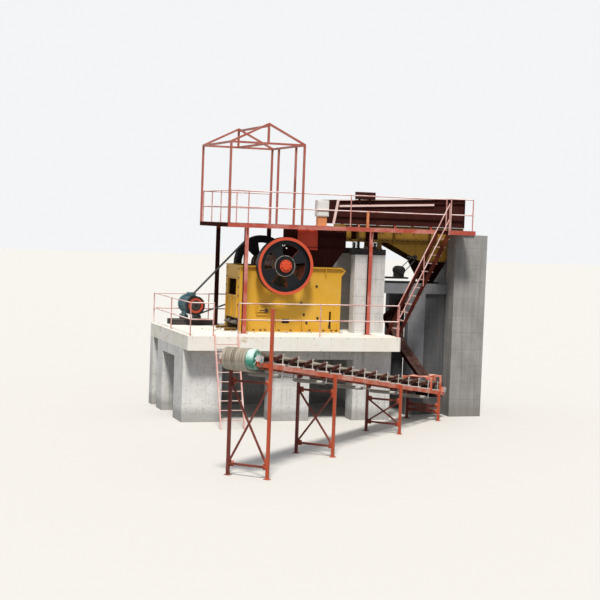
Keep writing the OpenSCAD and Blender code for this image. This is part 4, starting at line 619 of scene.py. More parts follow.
# The belt's faces that look down are pale, as dust and as painted light.
repaint(BELT_RUBBER, "Rubber", dusty_and_lit_underside)
DRIVE_RUBBER = finish_of(
    "drive_rubber", RUBBER, {"Rubber": (0.018, 0.018, 0.02), "Dust": (0.2, 0.2, 0.2), "Dust Amount": 0.25}
)
JAW_STEEL = finish_of(
    "jaw_steel", STEEL, {"Steel": (0.33, 0.32, 0.31), "Rust Amount": 0.35}, metallic=0.85, relief=0.4
)
BARE_STEEL = finish_of(
    "bare_steel", STEEL, {"Steel": (0.3, 0.28, 0.26), "Rust Amount": 0.55, "Roughness": 0.5}, metallic=0.8
)
SHAFT_STEEL = finish_of(
    "shaft_steel", STEEL, {"Steel": (0.55, 0.54, 0.52), "Rust Amount": 0.1}, metallic=0.95,
)
BOLT_STEEL = finish_of(
    "bolt_steel", STEEL, {"Steel": (0.06, 0.045, 0.04), "Rust Amount": 0.5, "Roughness": 0.6}, metallic=0.4
)
for old_paint in (HOPPER_OCHRE, WALKWAY_RED, STAIR_RED, CHUTE_RED, CHUTE_BLACK):
    old_paint.node_tree.nodes["Principled BSDF"].inputs["Specular IOR Level"].default_value = 0.0

FLYWHEEL_PAINT = wheel_paint(
    "flywheel_paint", SHAFT,
    [(0.0, 0.222, (0.68, 0.085, 0.028)), (WHEEL_R - 0.1, WHEEL_R + 0.01, (0.66, 0.1, 0.045))],
    (0.37, 0.75, (0.2, 0.04, 0.03)), (0.006, 0.007, 0.009),
)
DRIVE_WHEEL_PAINT = wheel_paint(
    "drive_wheel_paint", SHAFT, [(0.0, 0.222, (0.03, 0.03, 0.03))], (0.37, 0.75, (0.05, 0.02, 0.02)),
    (0.016, 0.016, 0.018),
)
# The near-black inside the red ring is painted shade, standing for a recess that the pulley's flat face
# lacks.
PULLEY_PAINT = wheel_paint(
    "pulley_paint", MOTOR, [(0.19, 0.27, (0.42, 0.06, 0.03))], (0.0, 0.27, (0.3, 0.04, 0.02)),
    (0.012, 0.012, 0.013),
)

NODE_FINISHES = {
    WALL_CONCRETE: ["wall_front", "wall_left", "wall_right", "wall_back"],
    SLAB_CONCRETE: ["slab"],
    COLUMN_CONCRETE: ["feeder_columns"],
    TIE_CONCRETE: ["tie_frame"],
    PIER_CONCRETE: ["end_pier"],
    CRUSHER_BODY: ["crusher_frame", "swing_jaw"],
    HOUSING_OCHRE: ["bearing_housings"],
    JAW_STEEL: ["fixed_jaw", "swing_jaw_plate", "cheek_plates"],
    BARE_STEEL: ["toggle_plate", "tension_rod"],
    SHAFT_STEEL: ["eccentric_shaft"],
    FLYWHEEL_PAINT: ["flywheel"],
    DRIVE_WHEEL_PAINT: ["drive_wheel"],
    PULLEY_PAINT: ["motor_pulley"],
    DRIVE_RUBBER: ["drive_belts"],
    BELT_RUBBER: ["conveyor_belt"],
    MOTOR_TEAL: ["motor"],
    DARK_STEEL: ["motor_base", "feeder_support", "feeder_springs", "tail_drum"],
    MOTOR_BLACK: ["feeder_motor"],
    WALKWAY_RED: ["walkway_frame", "walkway_posts"],
    STAIR_RED: ["stair_stringers"],
    TREAD_PINK: ["stair_treads"],
    CANOPY_RED: ["canopy_frame"],
    PLATE_STEEL: ["walkway_deck"],
    RAIL_RED: ["slab_handrail", "walkway_handrail", "stair_handrail"],
    LADDER_PINK: ["access_ladder"],
    CHUTE_RED: ["feed_chute", "skirt_boards"],
    FEEDER_YELLOW: ["feeder_trough"],
    HOPPER_OCHRE: ["undersize_hopper"],
    CHUTE_BLACK: ["undersize_chute"],
    CONVEYOR_RED: ["conveyor_frame"],
    TRESTLE_RED: ["trestles"],
    ROLLER_GREY: ["idlers", "return_idlers"],
    DRUM_GREEN: ["head_drum"],
}


def dress_nodes():
    """Gives every node of the model its finish."""
    for material, names in NODE_FINISHES.items():
        for name in names:
            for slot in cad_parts[name].material_slots:
                slot.material = material


# Mesh helpers

def piece(name, bm, material, body="root"):
    """Turns a bmesh into a finished object that rides on a body."""
    mesh = bpy.data.meshes.new(name)
    bmesh.ops.recalc_face_normals(bm, faces=bm.faces)
    bm.to_mesh(mesh)
    bm.free()
    made = bpy.data.objects.new(name, mesh)
    bpy.context.scene.collection.objects.link(made)
    mesh.materials.append(material)
    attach(made, body)
    return made


def turn_to(direction):
    """The rotation that takes Z to a direction."""
    return Vector(direction).to_track_quat("Z", "Y").to_matrix().to_4x4()


def block(bm, low, high, bevel=0.0):
    """A block from its lowest to its highest corner, with bevelled edges."""
    low, high = Vector(low), Vector(high)
    made = bmesh.ops.create_cube(bm, size=1.0)["verts"]
    bmesh.ops.scale(bm, vec=high - low, verts=made)
    bmesh.ops.translate(bm, vec=(low + high) / 2, verts=made)
    if bevel:
        edges = list({edge for vert in made for edge in vert.link_edges})
        result = bmesh.ops.bevel(
            bm, geom=edges, offset=bevel, affect="EDGES", segments=2, profile=0.5, material=-1
        )
        rounded = {vert for face in result["faces"] for vert in face.verts}
        made = list(rounded | {vert for vert in made if vert.is_valid})
    return made


def rod(bm, a, b, radius, sides=12, tip=None):
    """A round bar between two points; tip is the radius at its far end."""
    a, b = Vector(a), Vector(b)
    matrix = Matrix.Translation((a + b) / 2) @ turn_to(b - a)
    made = bmesh.ops.create_cone(
        bm, cap_ends=True, cap_tris=False, segments=sides, radius1=radius,
        radius2=radius if tip is None else tip, depth=(b - a).length, matrix=matrix,
    )
    return made["verts"]


def bolt(bm, place, out, size=0.03, head=6):
    """A hexagon head on a washer, at a place on a face that looks out."""
    place, out = Vector(place), Vector(out).normalized()
    rod(bm, place, place + out * size * 0.16, size * 1.05, 12)
    rod(bm, place + out * size * 0.16, place + out * size * 0.72, size * 0.8, head, size * 0.72)
    rod(bm, place + out * size * 0.72, place + out * size * 1.05, size * 0.42, 8, size * 0.36)


def turned(bm, profile, centre, axis, steps=48):
    """Spins a profile of radius and height pairs about an axis through a centre."""
    matrix = Matrix.Translation(Vector(centre)) @ turn_to(axis)
    points = [bm.verts.new(matrix @ Vector((radius, 0.0, height))) for radius, height in profile]
    edges = [bm.edges.new(pair) for pair in zip(points, points[1:])]
    if profile[0][0] > 0 and profile[-1][0] > 0:
        edges.append(bm.edges.new((points[-1], points[0])))
    made = bmesh.ops.spin(
        bm, geom=points + edges, cent=Vector(centre), axis=Vector(axis), dvec=(0, 0, 0),
        angle=math.tau, steps=steps, use_merge=True, use_duplicate=False, use_normal_flip=False,
    )
    bmesh.ops.remove_doubles(bm, verts=bm.verts, dist=0.0001)
    return made


def plate(bm, side, face, thick, low, high, bevel=0.0):
    """A plate on a face across Y, with its low and high corners given as X and Z."""
    y = sorted((face, face + side * thick))
    return block(bm, (low[0], y[0], low[1]), (high[0], y[1], high[1]), bevel)


def bolts_at(bm, xs, ys, zs, out, size):
    """A bolt at every meeting of the given places in X, Y and Z."""
    for place in product(xs, ys, zs):
        bolt(bm, place, out, size)


def spokes(count, phase=0.0):
    """Directions in the XZ plane, evenly round a turn."""
    for i in range(count):
        angle = math.tau * (i + phase) / count
        yield Vector((math.cos(angle), 0.0, math.sin(angle)))


def steps_between(a, b, count):
    """Evenly spaced values from a to b, with both ends."""
    return [a + (b - a) * i / (count - 1) for i in range(count)]


# Crusher

# Columns of the photo on the crusher's side, some with heights above the slab
PHOTO_LEFT, PHOTO_RIGHT = 240.5, 342.0
BASE_BOLTS = [246, 255, 262, 266.5, 280, 292, 303, 311, 325, 333, 338]
PLATE_BOLTS = [(317, 1.63), (302, 1.02), (305, 0.62), (319, 0.5), (308, 0.33), (331, 0.22)]
RIBS = [(277.5, 0.05, 0.42), (303.5, 0.05, 0.42), (325.5, 2.05, 2.26)]


def side_x(pixel):
    """Place along the crusher of a pixel column that lies on its front side."""
    return BODY_LEFT + (pixel - PHOTO_LEFT) / (PHOTO_RIGHT - PHOTO_LEFT) * (BODY_RIGHT - BODY_LEFT)


def crusher_bolts():
    """Anchor bolts, bolts of the liner plates and rows of bolts on both ends of the body."""
    bm = bmesh.new()
    for side in (-1, 1):
        face = SHAFT.y + side * BODY_HALF
        for pixel in BASE_BOLTS:
            bolt(bm, (side_x(pixel), face + side * 0.05, DECK + 0.045), Z_AXIS, 0.046)
        for pixel, height in PLATE_BOLTS:
            bolt(bm, (side_x(pixel), face, DECK + height), (0, side, 0), 0.045)
    rows = (SHAFT.y - 0.76, SHAFT.y + 0.76)
    heights = [DECK + height for height in steps_between(0.62, 2.18, 6)]
    bolts_at(bm, [BODY_RIGHT], rows, heights, X_AXIS, 0.03)
    bolts_at(bm, [BODY_LEFT], rows, heights[1:], -X_AXIS, 0.03)
    piece("crusher_bolts", bm, BOLT_STEEL)


def crusher_trim():
    """Ribs, strips and door frames of the body that are too thin for the solid, and the hinges."""
    bm = bmesh.new()
    for side in (-1, 1):
        face = SHAFT.y + side * BODY_HALF
        for pixel, low, high in RIBS:
            x = side_x(pixel)
            plate(bm, side, face, 0.085, (x - 0.012, DECK + low), (x + 0.012, DECK + high), 0.004)
        low, high = (SHAFT.x + 0.98, DECK + 1.52), (SHAFT.x + 1.22, DECK + 1.74)
        plate(bm, side, face, 0.02, low, high, 0.006)
        left, right, foot, head = side_x(257.5), side_x(270.5), DECK + 0.62, DECK + 0.88
        for z in (foot, head):
            plate(bm, side, face, 0.06, (left, z - 0.02), (right, z + 0.02), 0.004)
        for x in (left, right - 0.07):
            plate(bm, side, face, 0.06, (x, foot), (x + 0.035, head), 0.004)
    low, high = DECK + 1.2, DECK + 1.85
    for y in (SHAFT.y - 0.58, SHAFT.y + 0.55):
        block(bm, (BODY_LEFT - 0.03, y, low), (BODY_LEFT, y + 0.03, high), 0.006)
    for z in (low, high - 0.03):
        block(bm, (BODY_LEFT - 0.03, SHAFT.y - 0.55, z), (BODY_LEFT, SHAFT.y + 0.55, z + 0.03), 0.006)
    for y in steps_between(SHAFT.y - 0.7, SHAFT.y + 0.7, 3):
        block(bm, (BODY_LEFT - 0.05, y - 0.012, DECK + 0.5), (BODY_LEFT, y + 0.012, DECK + 1.18), 0.004)
    piece("crusher_trim", bm, CRUSHER_YELLOW)
    bm = bmesh.new()
    for side in (-1, 1):
        face = SHAFT.y + side * BODY_HALF
        lever, x, z = face + side * 0.04, side_x(267), DECK + 0.75
        rod(bm, (x, face, z), (x, face + side * 0.07, z), 0.07, 20)
        rod(bm, (side_x(260), lever, z), (x, lever, z), 0.03, 12)
    piece("hinge_pins", bm, RUSTY_STEEL)


def bearing_bolts():
    """A ring of bolts on each bearing cover of the shaft."""
    bm = bmesh.new()
    for side in (-1, 1):
        for out in spokes(12):
            bolt(bm, SHAFT + Y_AXIS * side * BEARING_FACE + out * 0.33, (0, side, 0), 0.02)
    piece("bearing_bolts", bm, BOLT_STEEL)


def flywheel_fittings():
    """Machined ring, hub cap and balance plugs of the front flywheel, and bolts on both hubs."""
    front = FLYWHEEL_Y - 0.03
    bm = bmesh.new()
    ring = [(0.345, 0.0), (0.345, 0.018), (0.372, 0.018), (0.372, 0.0)]
    turned(bm, ring, (SHAFT.x, front, SHAFT.z), -Y_AXIS)
    piece("web_ring", bm, BARE_STEEL, "rotor")
    bm = bmesh.new()
    cap = [(0.0, 0.052), (0.12, 0.052), (0.15, 0.04), (0.15, 0.012), (0.215, 0.01), (0.215, 0.0), (0.0, 0.0)]
    turned(bm, cap, (SHAFT.x, FLYWHEEL_Y - 0.15, SHAFT.z), -Y_AXIS)
    piece("hub_cap", bm, HUB_ORANGE, "rotor")
    bm = bmesh.new()
    for wheel_y, side in ((FLYWHEEL_Y, -1), (DRIVE_Y, 1)):
        hub = Vector((SHAFT.x, wheel_y + side * 0.162, SHAFT.z))
        for out in spokes(8, 0.5):
            bolt(bm, hub + out * 0.168, (0, side, 0), 0.018)
    piece("hub_bolts", bm, BOLT_STEEL, "rotor")
    bm = bmesh.new()
    for angle, radius in ((93, 0.72), (87, 0.62)):
        x = SHAFT.x + math.cos(math.radians(angle)) * radius
        z = SHAFT.z + math.sin(math.radians(angle)) * radius
        rod(bm, (x, front, z), (x, front - 0.012, z), 0.028, 16, 0.024)
    piece("balance_plugs", bm, BOX_WHITE, "rotor")


def belt_run(bm, section, first, first_r, second, second_r, steps):
    """A closed belt round two wheels in the XZ plane, from one section of radius and Y pairs."""
    way = second - first
    length = math.hypot(way.x, way.z)
    heading = math.atan2(way.z, way.x)
    wrap = math.acos((first_r - second_r) / length)
    run = length * math.sin(wrap)
    start = heading + wrap
    out = Vector((math.cos(start), 0, math.sin(start)))
    ring = [bm.verts.new(first + out * (first_r + radius) + Y_AXIS * y) for radius, y in section]
    loop = [bm.edges.new((ring[i], ring[(i + 1) % len(ring)])) for i in range(len(ring))]

    def arc(edges, centre, angle, count):
        verts = list({vert for edge in edges for vert in edge.verts})
        spun = bmesh.ops.spin(
            bm, geom=verts + edges, cent=centre, axis=Y_AXIS, dvec=(0, 0, 0), angle=-angle,
            steps=count, use_merge=False, use_duplicate=False, use_normal_flip=False,
        )
        return [item for item in spun["geom_last"] if isinstance(item, bmesh.types.BMEdge)]

    def straight(edges, move):
        made = bmesh.ops.extrude_edge_only(bm, edges=edges)["geom"]
        bmesh.ops.translate(bm, vec=move, verts=[v for v in made if isinstance(v, bmesh.types.BMVert)])
        return [item for item in made if isinstance(item, bmesh.types.BMEdge) and not is_rail(item, edges)]

    def is_rail(edge, old):
        old_verts = {vert for item in old for vert in item.verts}
        return any(vert in old_verts for vert in edge.verts)

    around = math.tau - 2 * wrap
    last = arc(loop, first, around, steps)
    leave = heading - wrap
    tangent = Vector((-math.sin(leave), 0, math.cos(leave)))
    last = straight(last, tangent * run)
    last = arc(last, second, 2 * wrap, steps)
    arrive = heading + wrap
    tangent = Vector((-math.sin(arrive), 0, math.cos(arrive)))
    straight(last, tangent * run)
    bmesh.ops.remove_doubles(bm, verts=bm.verts, dist=0.002)


def drive_belt_strands():
    """Six separate belts round the drive wheel and the motor's pulley."""
    bm = bmesh.new()
    count, pitch = 6, 0.042
    wheel, pulley = Vector((SHAFT.x, 0, SHAFT.z)), Vector((MOTOR.x, 0, MOTOR.z))
    for i in range(count):
        y = DRIVE_Y + (i - (count - 1) / 2) * pitch
        section = [(-0.011, y - 0.008), (0.01, y - 0.014), (0.01, y + 0.014), (-0.011, y + 0.008)]
        belt_run(bm, section, wheel, WHEEL_R, pulley, MOTOR_R, 40)
    made = piece("drive_belt_strands", bm, DRIVE_RUBBER)
    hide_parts("drive_belts")


# Motor

def motor_fittings():
    """Cover bolts, fan grille, lid with eye and gland, foot bolts and the hub of the pulley."""
    low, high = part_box("motor")
    centre = Vector((MOTOR.x, 0, MOTOR.z))
    cover, fan = centre + Y_AXIS * (low.y + 0.075), centre + Y_AXIS * high.y
    bm = bmesh.new()
    for out in spokes(8):
        bolt(bm, cover + out * 0.285, -Y_AXIS, 0.016)
    for radius in (0.1, 0.17, 0.24, 0.3):
        inner, outer = radius - 0.007, radius + 0.007
        turned(bm, [(inner, 0.0), (inner, 0.006), (outer, 0.006), (outer, 0.0)], fan, Y_AXIS, 32)
    for out in spokes(8):
        rod(bm, fan + out * 0.1 + Y_AXIS * 0.003, fan + out * 0.33 + Y_AXIS * 0.003, 0.005, 6)
    piece("motor_grille", bm, DARK_STEEL)
    bm = bmesh.new()
    eye_y, lid = low.y + 0.32, high.z + 0.018
    eye = centre + Vector((0, eye_y - 0.16, 0.35))
    rod(bm, eye - Z_AXIS * 0.025, eye + Z_AXIS * 0.025, 0.03, 16, 0.02)
    block(bm, (centre.x - 0.14, eye_y - 0.06, high.z), (centre.x + 0.14, eye_y + 0.26, lid), 0.006)
    lid_x, lid_y = (centre.x - 0.12, centre.x + 0.12), (eye_y - 0.04, eye_y + 0.24)
    bolts_at(bm, lid_x, lid_y, [lid], Z_AXIS, 0.01)
    gland = Vector((centre.x - 0.2, eye_y + 0.1, high.z - 0.06))
    rod(bm, gland, gland + X_AXIS * 0.07, 0.03, 12)
    piece("motor_lid", bm, MOTOR_TEAL)
    bm = bmesh.new()
    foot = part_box("motor_base")[1].z + 0.04
    foot_x, foot_y = (centre.x - 0.24, centre.x + 0.24), (low.y + 0.16, high.y - 0.24)
    bolts_at(bm, foot_x, foot_y, [foot], Z_AXIS, 0.03)
    piece("motor_bolts", bm, BOLT_STEEL)
    bm = bmesh.new()
    face = centre + Y_AXIS * (PULLEY_LOW.y + 0.02)
    for out in spokes(6):
        bolt(bm, face + out * 0.11, -Y_AXIS, 0.02)
    turned(bm, [(0.06, 0.0), (0.06, 0.012), (0.15, 0.004), (0.15, 0.0)], face, -Y_AXIS, 32)
    piece("pulley_hub", bm, DARK_STEEL, "motor_rotor")


# Conveyor, in its own frame: X down the slope from the first trestle, Y across, Z up

CONVEYOR = (
    Matrix.Translation(CONVEYOR_FOOT)
    @ Matrix.Rotation(CONVEYOR_YAW, 4, "Z") @ Matrix.Rotation(CONVEYOR_FALL, 4, "Y")
)
HEAD_Z, TAIL_Z, DRUM_R = 0.112, 0.1177, 0.27
BEAM_TOP, BEAM_OUT = 0.06, 0.55
IDLER_PLACES = [0.94 + i for i in range(14)]
RETURN_PLACES = [0.8935 + 3 * i for i in range(5)]
TRESTLE_PLACES = (0.0, 4.35, 9.85, 13.7)
BELT_T, BELT_LEFT, BELT_RIGHT = 0.012, -0.25, 0.45
ROLLER_R, ROLLER_Z = 0.054, 0.2
FLAT_HALF, FOLD = 0.175, math.radians(30.0)


def conveyor_piece(name, bm, material, body="root"):
    """A finished object from a bmesh in the conveyor's own frame."""
    bmesh.ops.transform(bm, matrix=CONVEYOR, verts=bm.verts)
    return piece(name, bm, material, body)


def belt_stations():
    """Path of the belt's outer face: place, height, inward normal and fold of the wings."""
    carried = ROLLER_Z + ROLLER_R + BELT_T
    top = HEAD_Z + DRUM_R + 0.006 + BELT_T
    stations = [(HEAD_X, top, 0.0), (HEAD_X + 0.5, top - 0.035, 0.2), (HEAD_X + 1.05, top - 0.095, 0.65)]
    for i, x in enumerate(IDLER_PLACES):
        stations.append((x, carried, 1.0))
        if x != IDLER_PLACES[-1]:
            stations.append((x + 0.5, carried - 0.012, 0.96))
    stations.append((TAIL_X - 0.25, top - 0.06, 0.5))
    path = [(x, z, (0.0, -1.0), fold * FOLD) for x, z, fold in stations]
    radius = DRUM_R + BELT_T
    for i in range(17):
        angle = math.pi / 2 - math.pi * i / 16
        out = (math.cos(angle), math.sin(angle))
        path.append((TAIL_X + out[0] * radius, TAIL_Z + out[1] * radius, (-out[0], -out[1]), 0.0))
    low_tail, low_head = TAIL_Z - radius, HEAD_Z - radius - 0.006
    for i in range(29, 0, -1):
        x = HEAD_X + (TAIL_X - HEAD_X) * i / 30
        z = low_head + (low_tail - low_head) * i / 30
        near = min(abs(x - place) for place in RETURN_PLACES)
        path.append((x, z - 0.035 * min(near / 1.5, 1.0) ** 0.5, (0.0, 1.0), 0.0))
    radius += 0.006
    for i in range(17):
        angle = -math.pi / 2 - math.pi * i / 16
        out = (math.cos(angle), math.sin(angle))
        path.append((HEAD_X + out[0] * radius, HEAD_Z + out[1] * radius, (-out[0], -out[1]), 0.0))
    return path


def trough_place(across, fold):
    """Where a strip of the belt lies once its wings are folded up."""
    over = max(abs(across) - FLAT_HALF, 0.0)
    return math.copysign(min(abs(across), FLAT_HALF) + over * math.cos(fold), across), over * math.sin(fold)


def troughed_belt():
    """The belt with its wings folded up on the idlers and flat round both drums."""
    path = belt_stations()
    strips = steps_between(BELT_LEFT, BELT_RIGHT, 15)
    bm = bmesh.new()
    bmesh.ops.create_grid(bm, x_segments=len(path) - 1, y_segments=len(strips) - 1, size=1.0)
    for vert in bm.verts:
        row = round((vert.co.x + 1) / 2 * (len(path) - 1))
        column = round((vert.co.y + 1) / 2 * (len(strips) - 1))
        x, z, inward, fold = path[row]
        y, rise = trough_place(strips[column], fold)
        vert.co = (x - inward[0] * rise, y, z - inward[1] * rise)
    bmesh.ops.remove_doubles(bm, verts=bm.verts, dist=0.0005)
    bmesh.ops.recalc_face_normals(bm, faces=bm.faces)
    bmesh.ops.solidify(bm, geom=bm.faces[:], thickness=BELT_T)
    made = conveyor_piece("troughed_belt", bm, BELT_RUBBER)
    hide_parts("conveyor_belt")


def three_roll_idlers():
    """Frames and rolls of the idlers, two rolls of each tilted under the belt's wings."""
    frames, rollers = bmesh.new(), bmesh.new()
    wing = Vector((0.0, math.cos(FOLD), math.sin(FOLD)))
    for x in IDLER_PLACES:
        low = (x - 0.035, 0.01 - BEAM_OUT, BEAM_TOP + 0.012)
        high = (x + 0.035, BEAM_OUT - 0.01, BEAM_TOP + 0.05)
        block(frames, low, high, 0.006)
        rod(rollers, (x, -FLAT_HALF, ROLLER_Z), (x, FLAT_HALF, ROLLER_Z), ROLLER_R, 20)
        for side in (-1, 1):
            mirror = Vector((1, side, 1))
            start = Vector((x + 0.02, FLAT_HALF + 0.03, ROLLER_Z + 0.01))
            end = start + wing * 0.28
            rod(rollers, start * mirror, end * mirror, ROLLER_R, 20)
            rod(frames, (end - wing * 0.01) * mirror, (end + wing * 0.05) * mirror, 0.016, 10)
            plate(frames, side, side * 0.47, 0.012, (x - 0.03, BEAM_TOP + 0.04), (x + 0.03, 0.365), 0.004)
            rod(frames, (x, side * 0.47, 0.36), (x, side * 0.482, 0.36), 0.032, 16)
            low, high = (x - 0.025, BEAM_TOP + 0.04), (x + 0.025, ROLLER_Z + 0.02)
            plate(frames, side, side * 0.186, 0.012, low, high, 0.003)
            bolt(frames, (x, side * 0.52, BEAM_TOP + 0.05), Z_AXIS, 0.014)
    frames = conveyor_piece("idler_frames", frames, IDLER_PALE)
    rollers = conveyor_piece("idler_rollers", rollers, ROLLER_MAROON)
    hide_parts("idlers")
    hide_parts("idlers")


def drum_fittings():
    """Rings, hubs and ribs on the head drum's ends, and the bearings of both drums."""
    bm = bmesh.new()
    for side in (-1, 1):
        axis = Vector((0, side, 0))
        centre = Vector((HEAD_X, side * BELT_RIGHT, HEAD_Z))
        turned(bm, [(0.222, 0.0), (0.222, 0.014), (0.252, 0.014), (0.252, 0.0)], centre, axis, 48)
        turned(bm, [(0.046, 0.0), (0.046, 0.026), (0.082, 0.026), (0.1, 0.0)], centre, axis, 32)
        for out in spokes(8):
            rod(bm, centre + out * 0.085 + axis * 0.004, centre + out * 0.226 + axis * 0.004, 0.009, 6)
    conveyor_piece("drum_ends", bm, DRUM_GREEN, "drum")
    bm = bmesh.new()
    for x, z in ((HEAD_X, HEAD_Z), (TAIL_X, TAIL_Z)):
        for side in (-1, 1):
            axis = Vector((0, side, 0))
            ring = [(0.047, 0.0), (0.047, 0.018), (0.075, 0.016), (0.098, 0.0)]
            turned(bm, ring, (x, side * 0.575, z), axis, 32)
            y = sorted((side * 0.575, side * 0.59))
            block(bm, (x - 0.13, y[0], BEAM_TOP), (x + 0.13, y[1], BEAM_TOP + 0.035), 0.006)
            block(bm, (x - 0.13, y[0], BEAM_TOP + 0.035), (x + 0.13, y[0] + 0.006, 0.222), 0.002)
            bolts_at(bm, (x - 0.1, x + 0.1), [side * 0.53], [z + 0.11], Z_AXIS, 0.016)
    conveyor_piece("drum_bearings", bm, BEARING_PALE)


def trestle_fittings():
    """Anchors, gussets and clips of the trestles and splices of the side beams."""
    bm = bmesh.new()
    flat = Matrix.Translation((CONVEYOR_FOOT.x, CONVEYOR_FOOT.y, 0.0)) @ Matrix.Rotation(CONVEYOR_YAW, 4, "Z")
    for place in TRESTLE_PLACES:
        frame_z = CONVEYOR_FOOT.z - place * math.tan(CONVEYOR_FALL)
        for side in (-1, 1):
            y = side * 0.5903
            bolts_at(bm, (place - 0.06, place + 0.06), (y - 0.06, y + 0.06), [0.015], Z_AXIS, 0.012)
            for z in (0.32, frame_z - 0.47):
                low, high = (place + 0.031, z - 0.08), (place + 0.039, z + 0.08)
                plate(bm, side, side * 0.43, 0.12, low, high, 0.002)
                bolts_at(bm, [place + 0.039], [side * 0.48], (z - 0.05, z + 0.05), X_AXIS, 0.011)
    bmesh.ops.transform(bm, matrix=flat, verts=bm.verts)
    piece("trestle_fittings", bm, CONVEYOR_RED)
    bm = bmesh.new()
    for x in (2.0, 6.6, 11.2):
        for side in (-1, 1):
            plate(bm, side, side * BEAM_OUT, 0.008, (x - 0.16, -0.045), (x + 0.16, 0.045), 0.002)
            places = steps_between(x - 0.12, x + 0.12, 4)
            bolts_at(bm, places, [side * 0.558], (-0.025, 0.025), (0, side, 0), 0.01)
    conveyor_piece("beam_splices", bm, CONVEYOR_RED)


# Feeder, chute and skirts

CHUTE_LOW, CHUTE_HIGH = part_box("feed_chute")
SKIRT_LOW, SKIRT_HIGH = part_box("skirt_boards")
FEED_Y = (CHUTE_LOW.y + CHUTE_HIGH.y) / 2
# Low and high corners, as X and Z, of the upright bars and then of the level ones
CHUTE_BARS = [((x, 5.96), (x + 0.014, 6.7)) for x in (0.56, 1.36, 2.385)] + [
    ((0.56, 6.685), (2.42, 6.7)), ((1.37, 6.32), (2.39, 6.334)), ((0.62, 5.94), (2.4, 5.954)),
]
TROUGH_FOOT, TROUGH_HEAD = 6.22, 6.78
SPRING_SEAT = 5.95


def chute_fittings():
    """Fresh panel, flanges and stiffeners on both sides of the feed chute."""
    panel, frame_bars = bmesh.new(), bmesh.new()
    for side in (-1, 1):
        face = FEED_Y + side * 0.75
        plate(panel, side, face, 0.008, (0.575, 5.86), (1.35, 6.69), 0.003)
        for low, high in CHUTE_BARS:
            plate(frame_bars, side, face, 0.05, low, high, 0.003)
        for x in steps_between(0.64, 2.32, 9):
            bolt(frame_bars, (x, face + side * 0.008, 5.9), (0, side, 0), 0.014)
    piece("chute_panels", panel, CHUTE_PANEL)
    piece("chute_flanges", frame_bars, CHUTE_RED)


def skirt_fittings():
    """Bars along the skirts in pale red as painted highlight, their sloping front edges and a row of bolts.
    """
    bars, dark = bmesh.new(), bmesh.new()
    low, high = SKIRT_LOW.z, SKIRT_HIGH.z
    left, right = 1.99, SKIRT_HIGH.x
    slope = (high - (low + 0.85)) / (right - left)
    for side in (-1, 1):
        out = FEED_Y + side * 0.84
        y = sorted((FEED_Y + side * 0.775, out + side * 0.003))
        for start, end, drop, tall in ((left, right - 0.01, 0.0, 0.03), (left + 0.1, 5.75, 0.19, 0.07)):
            z = low + 0.85 - drop + slope * (start - left)
            run = end - start
            verts = block(bars, (start, y[0], z - tall), (end, y[1], z))
            for vert in verts:
                if vert.co.x > start + run / 2:
                    vert.co.z += slope * run
        y = sorted((out, out + side * 0.004))
        verts = block(bars, (SKIRT_LOW.x, y[0], low), (SKIRT_LOW.x + 0.095, y[1], low + 0.85))
        for vert in verts:
            if vert.co.z > low + 0.5:
                vert.co.x += 0.15
        for x in steps_between(2.2, 6.9, 12):
            bolt(dark, (x, FEED_Y + side * 0.78, low + 0.14), (0, side, 0), 0.018)
    piece("skirt_bars", bars, HIGHLIGHT_RED)
    piece("skirt_bolts", dark, CHUTE_RED)


def trough_fittings():
    """Bolt rows, stiffeners, ledges and rings of trough and hopper, and the spring brackets."""
    bolts, plates, under = bmesh.new(), bmesh.new(), bmesh.new()
    for side in (-1, 1):
        face = FEED_Y + side * 0.65
        bolts_at(bolts, steps_between(2.6, 6.9, 22), [face], [6.285], (0, side, 0), 0.026)
        bolts_at(bolts, (3.72, 3.86, 4.4, 4.54, 5.07, 5.21, 5.74), [face], [6.55], (0, side, 0), 0.03)
        for x in steps_between(2.5, 6.98, 6):
            plate(plates, side, face, 0.045, (x - 0.007, TROUGH_FOOT), (x + 0.007, TROUGH_HEAD), 0.003)
        plate(plates, side, face, 0.045, (2.46, 6.235), (7.04, 6.25), 0.003)
        skin = FEED_Y + side * 0.59
        plate(plates, side, skin, 0.05, (4.14, 6.15), (6.63, 6.165), 0.003)
        plate(plates, side, skin, 0.05, (5.42, 5.56), (6.39, 5.575), 0.003)
        for left, right in ((2.62, 2.78), (3.18, 3.6)):
            low, high = (left, TROUGH_FOOT), (right, TROUGH_HEAD)
            plate(under, side, FEED_Y + side * 0.715, 0.115, low, high, 0.008)
        bolts_at(bolts, steps_between(5.5, 6.3, 5), [skin + side * 0.03], [5.575], Z_AXIS, 0.014)
        ring = [(0.2, 0.0), (0.2, 0.02), (0.222, 0.02), (0.222, 0.0)]
        turned(plates, ring, (5.95, skin, 5.86), (0, side, 0), 40)
    piece("trough_bolts", bolts, RUSTY_STEEL)
    piece("trough_stiffeners", plates, HOPPER_OCHRE)
    piece("spring_brackets", under, CHUTE_BLACK)


